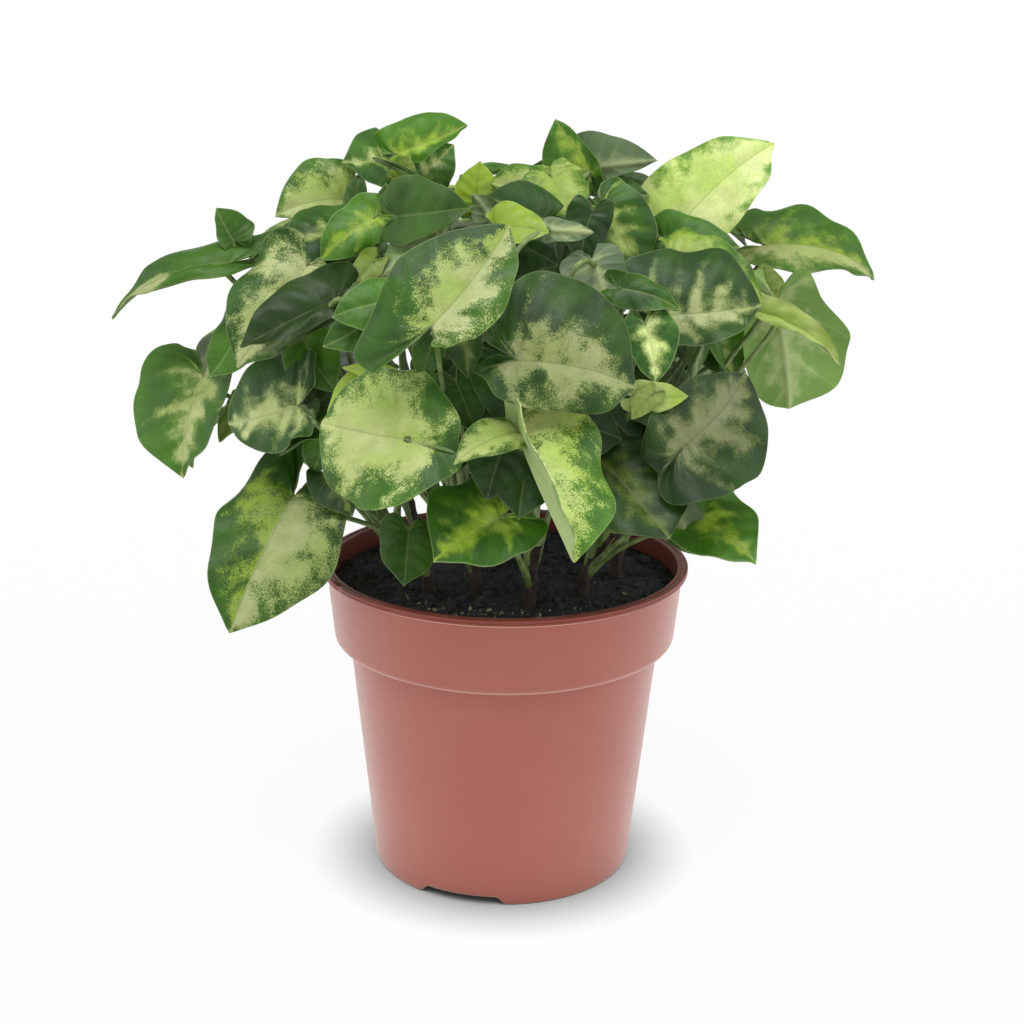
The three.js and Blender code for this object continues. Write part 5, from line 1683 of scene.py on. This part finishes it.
def petiole_feet(stem):
    """Where on the stem each petiole starts: evenly, or by height for an inner leaf."""
    outer = [form for form in stem["leaves"] if not form["inner"]]
    last = max(1, len(outer) - 1)
    return {id(form): FIRST_LEAF_SHARE + (1 - FIRST_LEAF_SHARE) * order / last
            for order, form in enumerate(outer)}


def main_stem(stem, feet):
    """The tube of the main stem from the floor of its hole, with a ring at each petiole."""
    foot_z = SOIL_Z - STEM_DEPTH + CLEARANCE
    steps = np.linspace(0, 1, STEM_STEPS + 1)
    path = [np.array([*stem["base"], foot_z])] + [stem_place(stem, share) for share in steps]
    radii = STEM_RADIUS + (STEM_TOP_RADIUS - STEM_RADIUS) * steps
    for share in feet.values():
        radii = radii + NODE_RING_MM * np.exp(-((steps - share) / NODE_RING_SHARE) ** 2)
    return tube(path, [STEM_RADIUS, *radii], STEM_SIDES)


print("the first stem's petioles start at",
      [round(share, 2) for share in petiole_feet(STEMS[0]).values()])


# %% Build each leafy stem
def grow(stem):
    """Everything that stands on one stem, as one piece."""
    points, faces, kinds = [], [], []
    values = {"leaf_look": [], "leaf_lines": [], "leaf_edge": []}

    def join(more, more_faces, more_kinds, more_values=None):
        first = sum(len(part) for part in points)
        faces.extend([corner + first for corner in face] for face in more_faces)
        points.append(np.asarray(more, float))
        kinds.extend(more_kinds)
        for key, rows in values.items():
            rows.append(more_values[key] if more_values else np.zeros((len(more), 3)))

    feet = petiole_feet(stem)
    stalk, stalk_faces = main_stem(stem, feet)
    join(stalk, stalk_faces, [3] * len(stalk_faces))
    for form in stem["leaves"]:
        height = (form["at"][2] - INNER_LOW) / (INNER_HIGH - INNER_LOW)
        share = feet.get(id(form), min(HIGHEST_FOOT, max(LOWEST_FOOT, height)))
        path = petiole_path(form, stem_place(stem, share))
        stalk, stalk_faces = tube(path, petiole_radii(), PETIOLE_SIDES)
        join(stalk, stalk_faces, [2] * len(stalk_faces))
        # A leaf's tone is painted light and shade as well as its own, times a small random tone.
        shade = form["tone"] or (INNER_PAINTED_SHADE if form["inner"] else 1)
        join(*build_blade(form, shade * chance.uniform(*OWN_TONE)))
    skins = [leaf_upper, leaf_under, petiole_skin_painted_shade, stem_bark_painted_shade]
    every = {key: np.concatenate(rows) for key, rows in values.items()}
    piece = make_piece("foliage_" + stem["name"], np.concatenate(points), faces, skins,
                       kinds, every)
    piece.data.set_sharp_from_angle(angle=math.radians(SHARP_LEAF))
    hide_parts("leafy_stem_" + stem["name"])
    return piece


grown = [grow(stem) for stem in STEMS]
print("leaves:", sum(len(stem["leaves"]) for stem in STEMS),
      "triangles:", sum(2 * len(piece.data.polygons) for piece in grown))

# %% [markdown]
# ## Floor and light
#
# A studio shot of a plant uses a white sweep, a big soft source above and one on each side, so
# that the pot's edges are paler than its middle and the shadow is faint and lies close under it.
# Sun lamps with a wide angle light a large floor evenly, and a white world fills the shadows.
# The sweep glows evenly, so that it stays white, and its glow is painted darker where something
# stands close: a painted shadow that draws the soft dark line round the foot. Its middle is a face
# of its own, so that the far corners do not spoil the precision near the pot. The world is brighter
# near the horizon.
# Colours stay as they are under the Standard view transform, which leaves white as white.

# %% The floor
NEAR_HALF_MM = 1500
FLOOR_HALF_MM = 200000
CONTACT_MM = 23
PAPER_GLOW = 0.925
floor_mesh = bpy.data.meshes.new("white_floor")
floor_points = []
for out in (NEAR_HALF_MM * MM, FLOOR_HALF_MM * MM):
    floor_points += [(-out, -out, 0), (out, -out, 0), (out, out, 0), (-out, out, 0)]
ring = [(side, side + 4, (side + 1) % 4 + 4, (side + 1) % 4) for side in range(4)]
floor_mesh.from_pydata(floor_points, [], [(0, 1, 2, 3)] + ring)
floor = bpy.data.objects.new("white_floor", floor_mesh)
bpy.context.scene.collection.objects.link(floor)
paper, output = new_material("white_paper")
openness = add(paper, "AmbientOcclusion", {"Distance": CONTACT_MM * MM}, samples=24).outputs["AO"]
# The glow is painted darker where something stands close: a painted contact shadow.
painted_shadow_glow = add(paper, "MapRange", {
    "Value": openness, "From Min": 0.15, "From Max": 1, "To Min": 0.02, "To Max": 1}).outputs[0]
painted_shadow_colour = add(paper, "CombineColor", {0: painted_shadow_glow, 1: painted_shadow_glow, 2: painted_shadow_glow}).outputs[0]
sheet = add(paper, "BsdfPrincipled", {
    "Base Color": linear("#3c3c3c"), "Roughness": 0.9, "Specular IOR Level": 0.1,
    "Emission Color": painted_shadow_colour, "Emission Strength": PAPER_GLOW})
paper.node_tree.links.new(sheet.outputs[0], output.inputs[0])
floor_mesh.materials.append(paper)
print("the floor is", 2 * FLOOR_HALF_MM * MM, "m wide")

# %% The world
HORIZON_LIGHT, ZENITH_LIGHT = 1, 0.36
HORIZON_TOP, ZENITH_FROM = 0.12, 0.35
world = bpy.data.worlds.new("studio")
world.use_nodes = True
sky = world.node_tree.nodes["Background"]
sky.inputs["Color"].default_value = (1, 1, 1, 1)
view = add(world, "TexCoord").outputs["Generated"]
height = add(world, "SeparateXYZ", {"Vector": view}).outputs[2]
bright = add(world, "MapRange", {
    "Value": height, "From Min": HORIZON_TOP, "From Max": ZENITH_FROM,
    "To Min": HORIZON_LIGHT, "To Max": ZENITH_LIGHT})
world.node_tree.links.new(bright.outputs[0], sky.inputs["Strength"])
bpy.context.scene.world = world
print("the horizon is", round(HORIZON_LIGHT / ZENITH_LIGHT, 1), "times as bright as the top")


# %% Lamps
def sun(name, strength, spread, azimuth, elevation):
    """A soft sun that shines from that direction, in degrees round from the front."""
    lamp = bpy.data.lights.new(name, "SUN")
    lamp.energy = strength
    lamp.angle = math.radians(spread)
    holder = bpy.data.objects.new(name, lamp)
    bpy.context.scene.collection.objects.link(holder)
    turn, rise = math.radians(azimuth), math.radians(elevation)
    flat = math.cos(rise)
    towards = Vector((math.sin(turn) * flat, -math.cos(turn) * flat, math.sin(rise)))
    holder.rotation_euler = towards.to_track_quat("Z", "Y").to_euler()


sun("overhead_softbox", strength=1.8, spread=36, azimuth=-12, elevation=70)
sun("left_softbox", strength=0.9, spread=60, azimuth=-80, elevation=30)
sun("right_softbox", strength=1.08, spread=60, azimuth=80, elevation=30)
sun("front_fill", strength=0.35, spread=90, azimuth=0, elevation=30)
bpy.context.scene.view_settings.view_transform = "Standard"
print("lit by", [lamp.name for lamp in bpy.data.lights])

# %% [markdown]
# ## Finish

# %% Finish
print("the plant is dressed")
